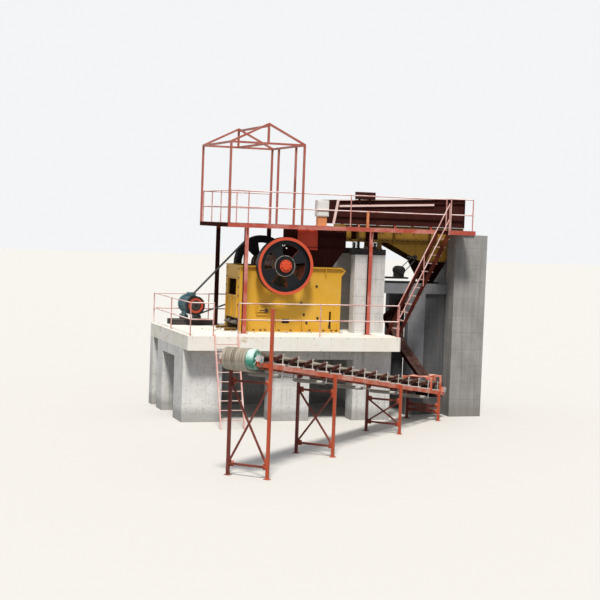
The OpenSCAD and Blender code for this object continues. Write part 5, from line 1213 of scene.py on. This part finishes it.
def coil_springs():
    """Coil springs on their seats in place of the plain cylinders."""
    bm = bmesh.new()
    turns, steps, wire = 4.5, 20, 0.014
    low, high = SPRING_SEAT + 0.02, TROUGH_FOOT - 0.02
    rise = (high - low - 2 * wire) / (turns * steps)
    for x, side in product((2.7, 3.5, 6.88), (-1, 1)):
        centre = Vector((x, FEED_Y + side * 0.83, 0))
        foot = Matrix.Translation(centre + Vector((0.058, 0, low + wire)))
        start = bmesh.ops.create_circle(
            bm, cap_ends=False, segments=6, radius=wire, matrix=foot @ Matrix.Rotation(math.pi / 2, 4, "X"),
        )["verts"]
        edges = list({edge for vert in start for edge in vert.link_edges})
        bmesh.ops.spin(
            bm, geom=start + edges, cent=centre, axis=Z_AXIS, dvec=(0, 0, rise), angle=math.tau * turns,
            steps=int(turns * steps), use_merge=False, use_duplicate=False, use_normal_flip=False,
        )
        rod(bm, centre + Z_AXIS * SPRING_SEAT, centre + Z_AXIS * low, 0.075, 20)
        rod(bm, centre + Z_AXIS * high, centre + Z_AXIS * TROUGH_FOOT, 0.075, 20)
        rod(bm, centre + Z_AXIS * SPRING_SEAT, centre + Z_AXIS * 6.1, 0.028, 12)
    made = piece("coil_springs", bm, DARK_STEEL)
    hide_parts("feeder_springs")


def feeder_drive():
    """Two belts from the feeder motor to a small pulley above, with the motor's fins and cowl."""
    centre, pulley = Vector((4.42, 0, 5.23)), Vector((4.9, 0, 5.72))
    bm = bmesh.new()
    for y in (0.70, 0.74):
        section = [(-0.008, y - 0.006), (0.006, y - 0.01), (0.006, y + 0.01), (-0.008, y + 0.006)]
        belt_run(bm, section, centre, 0.105, pulley, 0.07, 16)
    piece("feeder_belts", bm, DRIVE_RUBBER)
    bm = bmesh.new()
    rod(bm, pulley + Y_AXIS * 0.66, pulley + Y_AXIS * 0.78, 0.072, 24)
    rod(bm, pulley + Y_AXIS * 0.78, pulley + Y_AXIS * 1.36, 0.03, 16)
    for out in spokes(24):
        if out.z > -0.7:
            rod(bm, centre + out * 0.157 + Y_AXIS * 0.84, centre + out * 0.157 + Y_AXIS * 1.16, 0.006, 6)
    cowl = [(0.1, 0.0), (0.1, 0.02), (0.152, 0.012), (0.152, 0.0)]
    turned(bm, cowl, centre + Y_AXIS * 0.77, -Y_AXIS, 32)
    bolts_at(bm, (centre.x - 0.1, centre.x + 0.1), (0.86, 1.14), [5.0], Z_AXIS, 0.014)
    piece("feeder_motor_fins", bm, MOTOR_BLACK)


def cabinet():
    """White control cabinet on its orange foot, with an orange post stub and a red cable box."""
    bm = bmesh.new()
    x, y, foot = 1.0, 0.36, 7.05
    block(bm, (x, y, foot), (x + 0.43, y + 0.28, 7.62), 0.012)
    block(bm, (x + 0.03, y - 0.012, 7.08), (x + 0.4, y, 7.59), 0.006)
    rod(bm, (x + 0.36, y - 0.03, 7.3), (x + 0.36, y - 0.03, 7.4), 0.008, 8)
    for z in (7.15, 7.52):
        rod(bm, (x + 0.015, y - 0.016, z - 0.03), (x + 0.015, y - 0.016, z + 0.03), 0.01, 8)
    piece("cabinet", bm, BOX_WHITE)
    bm = bmesh.new()
    block(bm, (x + 0.05, y + 0.04, WALK), (x + 0.38, y + 0.24, foot), 0.008)
    block(bm, (x + 0.02, y, WALK), (x + 0.41, y + 0.28, WALK + 0.012), 0.003)
    bolts_at(bm, (x + 0.035, x + 0.395), (y + 0.03, y + 0.25), [WALK + 0.012], Z_AXIS, 0.01)
    block(bm, (3.11, 1.0, WALK), (3.2, 1.07, 7.3), 0.006)
    block(bm, (3.08, 0.97, WALK), (3.23, 1.07, WALK + 0.012), 0.003)
    piece("cabinet_foot", bm, BOX_ORANGE)
    bm = bmesh.new()
    block(bm, (2.66, 1.02, 7.72), (3.42, 1.1, 7.98), 0.01)
    block(bm, (2.7, 1.0, 7.75), (3.38, 1.02, 7.95), 0.006)
    for x in (2.8, 3.2):
        block(bm, (x, 1.06, 7.6), (x + 0.06, 1.1, 7.72), 0.004)
    piece("cable_box", bm, CHUTE_RED)


# Walkway, canopy and platform

FRONT_POSTS, POST_Y = (-1.545, 3.01), 0.305


def walkway_fittings():
    """Anchors of the posts, foot plates of the rail, gussets under the deck and its seams."""
    bm = bmesh.new()
    for x, y in ((FRONT_POSTS[0], POST_Y), (FRONT_POSTS[1], POST_Y), (-1.545, 3.955), (0.395, 3.955)):
        bolts_at(bm, (x - 0.1, x + 0.1), (y - 0.1, y + 0.1), [DECK + 0.015], Z_AXIS, 0.016)
    piece("post_anchors", bm, BOLT_STEEL)
    bm = bmesh.new()
    for x in (-2.149, -1.5, 2.235, 5.895):
        block(bm, (x - 0.05, 0.285, WALK), (x + 0.05, 0.385, WALK + 0.01), 0.002)
        bolts_at(bm, (x - 0.035, x + 0.035), [0.37], [WALK + 0.01], Z_AXIS, 0.009)
    for x, side in product(FRONT_POSTS, (-1, 1)):
        gusset = block(bm, (x - 0.006, POST_Y, 6.3), (x + 0.006, POST_Y + side * 0.2, 6.575))
        for vert in gusset:
            if abs(vert.co.y - POST_Y) > 0.1 and vert.co.z < 6.4:
                vert.co.y = POST_Y + side * 0.07
    piece("walkway_gussets", bm, WALKWAY_RED)
    bm = bmesh.new()
    for x in steps_between(-1.0, 6.4, 7):
        block(bm, (x, 0.26, WALK), (x + 0.035, 1.06, WALK + 0.004), 0.001)
    for x in steps_between(-1.6, -0.2, 3):
        block(bm, (x, 1.2, WALK), (x + 0.035, 3.9, WALK + 0.004), 0.001)
    piece("deck_seams", bm, PLATE_STEEL)


def crusher_skids():
    """Ends of the skids that the crusher stands on, at the motor's side."""
    bm = bmesh.new()
    for y in (SHAFT.y - 0.62, SHAFT.y + 0.5):
        block(bm, (BODY_LEFT - 0.42, y, DECK), (BODY_LEFT, y + 0.12, DECK + 0.014), 0.003)
        block(bm, (BODY_LEFT - 0.42, y, DECK + 0.086), (BODY_LEFT, y + 0.12, DECK + 0.1), 0.003)
        block(bm, (BODY_LEFT - 0.41, y + 0.053, DECK + 0.01), (BODY_LEFT, y + 0.067, DECK + 0.09))
    piece("crusher_skids", bm, FEEDER_YELLOW)


def spilt_stones():
    """Chips of stone that fell on the slab along both sides of the crusher and at its left end."""
    chance = random.Random(7)
    bm = bmesh.new()

    def stone(place, size):
        matrix = (
            Matrix.Translation(place + Z_AXIS * size * 0.55)
            @ Matrix.Rotation(chance.uniform(0, math.tau), 4, Vector((chance.random(), chance.random(), 1)))
            @ Matrix.Diagonal((size, size * chance.uniform(0.6, 0.9), size * chance.uniform(0.45, 0.7), 1))
        )
        made = bmesh.ops.create_icosphere(bm, subdivisions=1, radius=1.0, matrix=matrix)["verts"]
        for vert in made:
            vert.co += Vector([chance.uniform(-0.14, 0.14) * size for _ in range(3)])

    for _ in range(150):
        far = abs(chance.gauss(0, 0.16)) + 0.06
        along = chance.uniform(BODY_LEFT - 0.5, BODY_RIGHT + 0.3)
        side = chance.choice((-1, 1))
        stone(Vector((along, SHAFT.y + side * (0.98 + far), DECK)), chance.uniform(0.012, 0.035))
    for _ in range(60):
        along = BODY_LEFT - abs(chance.gauss(0, 0.4)) - 0.05
        across = SHAFT.y + chance.uniform(-0.9, 0.9)
        stone(Vector((along, across, DECK)), chance.uniform(0.012, 0.035))
    piece("spilt_stones", bm, STONE_GREY)


# Light, floor and camera

CAMERA_PLACE = Vector((-15.1914, -45.7343, 6.8616))
CAMERA_YAW, CAMERA_PITCH, CAMERA_ROLL = 0.327784, -0.056069, 0.0367
PHOTO_SIZE, PHOTO_FOCUS = 600, 1403.04


def camera():
    """The camera that took the photo, fitted to it."""
    data = bpy.data.cameras.new("camera")
    data.sensor_width = 36.0
    data.lens = PHOTO_FOCUS / PHOTO_SIZE * data.sensor_width
    data.clip_end = 500.0
    made = bpy.data.objects.new("camera", data)
    bpy.context.scene.collection.objects.link(made)
    forward = Vector((
        math.sin(CAMERA_YAW) * math.cos(CAMERA_PITCH),
        math.cos(CAMERA_YAW) * math.cos(CAMERA_PITCH),
        math.sin(CAMERA_PITCH),
    ))
    right = Vector((math.cos(CAMERA_YAW), -math.sin(CAMERA_YAW), 0.0))
    up = right.cross(forward)
    turned_right = right * math.cos(CAMERA_ROLL) + up * math.sin(CAMERA_ROLL)
    turned_up = up * math.cos(CAMERA_ROLL) - right * math.sin(CAMERA_ROLL)
    made.matrix_world = Matrix.Translation(CAMERA_PLACE) @ Matrix(
        (turned_right, turned_up, -forward)
    ).transposed().to_4x4()
    bpy.context.scene.camera = made


def studio():
    """A bright even sky, one soft sun from the left and the ground."""
    scene = bpy.context.scene
    scene.view_settings.view_transform = "Standard"
    world = bpy.data.worlds.new("studio")
    scene.world = world
    world.use_nodes = True
    tree = world.node_tree
    graph = Graph(tree)
    background = tree.nodes["Background"]
    seen = graph.add("ShaderNodeLightPath").outputs
    direct = graph.most(seen["Is Camera Ray"], seen["Is Transmission Ray"])
    direct = graph.most(direct, seen["Is Glossy Ray"])
    graph.put(graph.mix(direct, (0.44, 0.47, 0.52), (0.9, 0.91, 0.92)), background.inputs["Color"])
    background.inputs["Strength"].default_value = 1.0
    sun = bpy.data.lights.new("sun", "SUN")
    sun.energy = 3.6
    sun.angle = math.radians(10.0)
    sun.color = (1.0, 0.965, 0.91)
    lamp = bpy.data.objects.new("sun", sun)
    lamp.rotation_euler = Vector((-0.22, -0.6, 1.0)).to_track_quat("Z", "Y").to_euler()
    scene.collection.objects.link(lamp)
    bm = bmesh.new()
    bmesh.ops.create_grid(bm, x_segments=2, y_segments=2, size=150.0)
    mesh = bpy.data.meshes.new("floor")
    bm.to_mesh(mesh)
    bm.free()
    floor = bpy.data.objects.new("floor", mesh)
    floor.location = (0.0, 60.0, -0.002)
    scene.collection.objects.link(floor)
    material = bpy.data.materials.new("floor")
    material.use_nodes = True
    shader = material.node_tree.nodes["Principled BSDF"]
    graph = Graph(material.node_tree)
    bounced = graph.add("ShaderNodeLightPath").outputs["Is Diffuse Ray"]
    graph.put(graph.mix(bounced, (0.66, 0.64, 0.6), (0.2, 0.19, 0.17)), shader.inputs["Base Color"])
    shader.inputs["Roughness"].default_value = 0.9
    mesh.materials.append(material)


camera()
studio()
dress_nodes()
crusher_bolts()
crusher_trim()
bearing_bolts()
flywheel_fittings()
drive_belt_strands()
motor_fittings()
troughed_belt()
three_roll_idlers()
drum_fittings()
trestle_fittings()
chute_fittings()
skirt_fittings()
trough_fittings()
coil_springs()
feeder_drive()
cabinet()
walkway_fittings()
crusher_skids()
spilt_stones()
